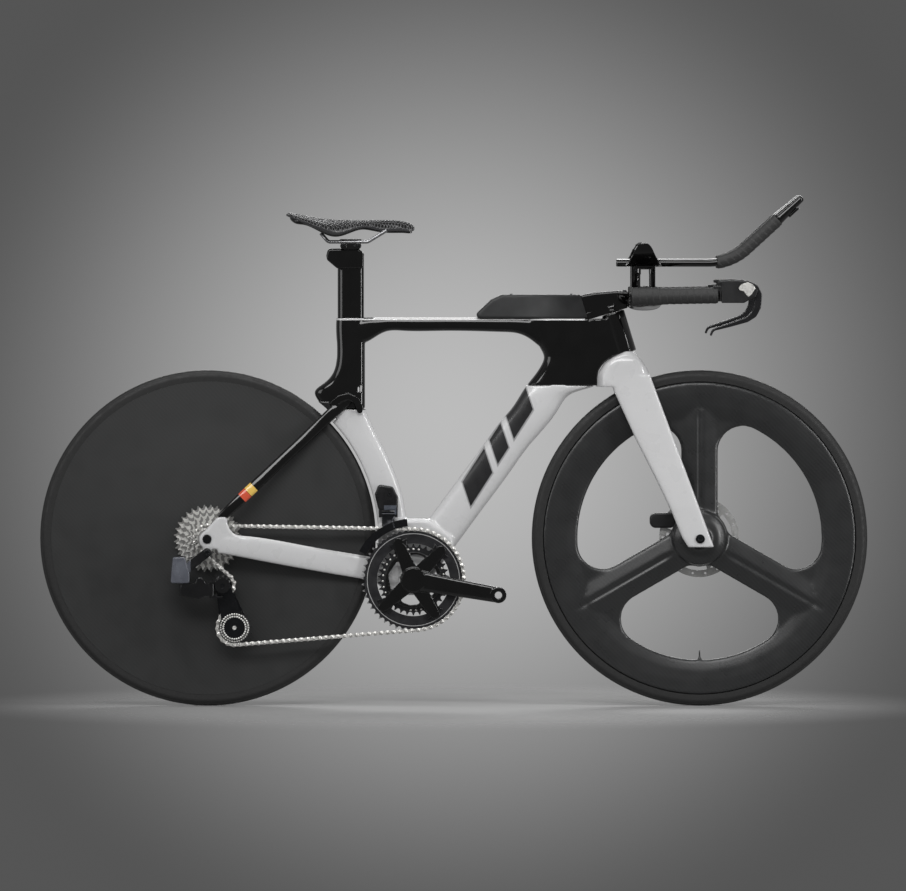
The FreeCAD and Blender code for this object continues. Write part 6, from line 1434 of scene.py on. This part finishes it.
def pale_floor():
    """Round floor whose rim fades away."""
    mesh = bpy.data.meshes.new("floor")
    work = bmesh.new()
    bmesh.ops.create_circle(work, cap_ends=True, segments=FLOOR_STEPS, radius=FLOOR_RADIUS)
    work.to_mesh(mesh)
    work.free()
    material, tree, surface = shader("floor_paper", (0.34, 0.34, 0.34), rough=0.8)
    reach = on_object(tree, "ShaderNodeVectorMath", OPERATION="LENGTH")["Value"]
    tree.links.new(rescale(tree, reach, *FLOOR_FADE, 1.0, 0.0), surface.inputs["Alpha"])
    mesh.materials.append(material)
    floor = bpy.data.objects.new("floor", mesh)
    scene.collection.objects.link(floor)
    return floor


show_piece(pale_floor())

# %% [markdown]
# ## Studio light
# Gloss black shows little but what it mirrors. So a large box above the camera lights the pale paint,
# narrow strips draw the thin lines along the edges of the lacquer, and a box behind keeps the far side
# from going black.


# %% Studio light
LIGHTS = [
    ("high_box", (-0.5, -3.4, 2.6), (0, 0, 0.5), 3.0, 1.2, 72),
    ("top_strip", (0.0, -0.45, 2.4), (0, 0, 0.6), 2.6, 0.12, 16),
    ("front_strip", (2.3, -1.5, 1.0), (0.2, 0, 0.6), 0.16, 2.2, 26),
    ("rear_box", (-2.6, -2.4, 1.2), (-0.2, 0, 0.6), 1.4, 1.4, 14),
    ("back_box", (0.3, 3.0, 2.2), (0, 0, 0.5), 3.0, 1.0, 52),
]


def facing_turn(way):
    """Rotation that points a light or a camera along a direction."""
    return way.to_track_quat("-Z", "Y").to_euler()


def area_light(name, place, aim, wide, high, watts):
    """A soft box that faces a point."""
    data = bpy.data.lights.new(name, "AREA")
    data.shape = "RECTANGLE"
    data.size = wide
    data.size_y = high
    data.energy = watts
    light = bpy.data.objects.new(name, data)
    light.location = place
    light.rotation_euler = facing_turn(Vector(aim) - Vector(place))
    scene.collection.objects.link(light)


for row in LIGHTS:
    area_light(*row)
print("lights", len(LIGHTS), "watts", sum(row[-1] for row in LIGHTS))

# %% [markdown]
# ## Backdrop
# Behind the bicycle the backdrop has a pool of light that falls off to grey. A wall would need a light of
# its own, so the world's colour does it, by the angle from the pool's middle. Camera, glossy and
# transmission rays see that colour, while an even fill lights the object.


# %% Backdrop
POOL_WAY = Vector((0.0, 1.0, -0.021)).normalized()
POOL_REACH = 0.056
SIDES_RISE = (0.08, 0.35)
BEHIND_FALL = (1.6, 1.95)
BEHIND_SHARE = 0.3


def backdrop(edge, middle, around, fill):
    """World with a pool of light behind the object and pale sides."""
    world = bpy.data.worlds.new("studio")
    scene.world = world
    world.use_nodes = True
    tree = world.node_tree
    soft = tree.nodes["Background"]
    soft.inputs["Color"].default_value = (fill, fill, fill, 1)
    distance = add(tree, "ShaderNodeVectorMath", OPERATION="DISTANCE")
    tree.links.new(add(tree, "ShaderNodeTexCoord").outputs["Generated"], distance.inputs[0])
    distance.inputs[1].default_value = POOL_WAY
    apart = distance.outputs["Value"]
    tone = ramp(tree, rescale(tree, apart, 0.0, POOL_REACH), [(0.0, middle), (1.0, edge)])
    sides = both(tree, rescale(tree, apart, *SIDES_RISE),
                 rescale(tree, apart, *BEHIND_FALL, 1.0, BEHIND_SHARE))
    seen = add(tree, "ShaderNodeBackground")
    tree.links.new(mixed(tree, sides, tone, (around, around, around)), seen.inputs["Color"])
    path = add(tree, "ShaderNodeLightPath")
    clear = path.outputs["Is Camera Ray"]
    for label in ("Is Glossy Ray", "Is Transmission Ray"):
        clear = maths(tree, "MAXIMUM", clear, path.outputs[label])
    mix = add(tree, "ShaderNodeMixShader")
    tree.links.new(clear, mix.inputs["Fac"])
    tree.links.new(soft.outputs["Background"], mix.inputs[1])
    tree.links.new(seen.outputs["Background"], mix.inputs[2])
    tree.links.new(mix.outputs["Shader"], tree.nodes["World Output"].inputs["Surface"])
    return world


print("backdrop nodes", len(backdrop(edge=0.09, middle=0.5, around=0.3, fill=0.15).node_tree.nodes))

# %% [markdown]
# ## Camera
# The picture is a side view from far away, nearly without perspective. An orthographic camera would lose
# the slight view onto the far wheel's rim, so a long lens stands 20 metres off, and its focal length
# follows from the scale.

# %% Camera
CAMERA_RANGE = 20.0
CAMERA_ELEVATION = math.radians(1.3)
AIM = Vector((-0.0015, 0.0, 0.521))
PIXELS_WIDE = 906
METRES_PER_PIXEL = 0.0020017
camera_data = bpy.data.cameras.new("camera")
camera_data.lens = camera_data.sensor_width * CAMERA_RANGE / (PIXELS_WIDE * METRES_PER_PIXEL)
camera = bpy.data.objects.new("camera", camera_data)
back = Vector((0, -math.cos(CAMERA_ELEVATION), math.sin(CAMERA_ELEVATION)))
camera.location = AIM + back * CAMERA_RANGE
camera.rotation_euler = facing_turn(-back)
scene.collection.objects.link(camera)
scene.camera = camera
scene.view_settings.view_transform = "Standard"
print("lens", round(camera_data.lens, 1), "mm")
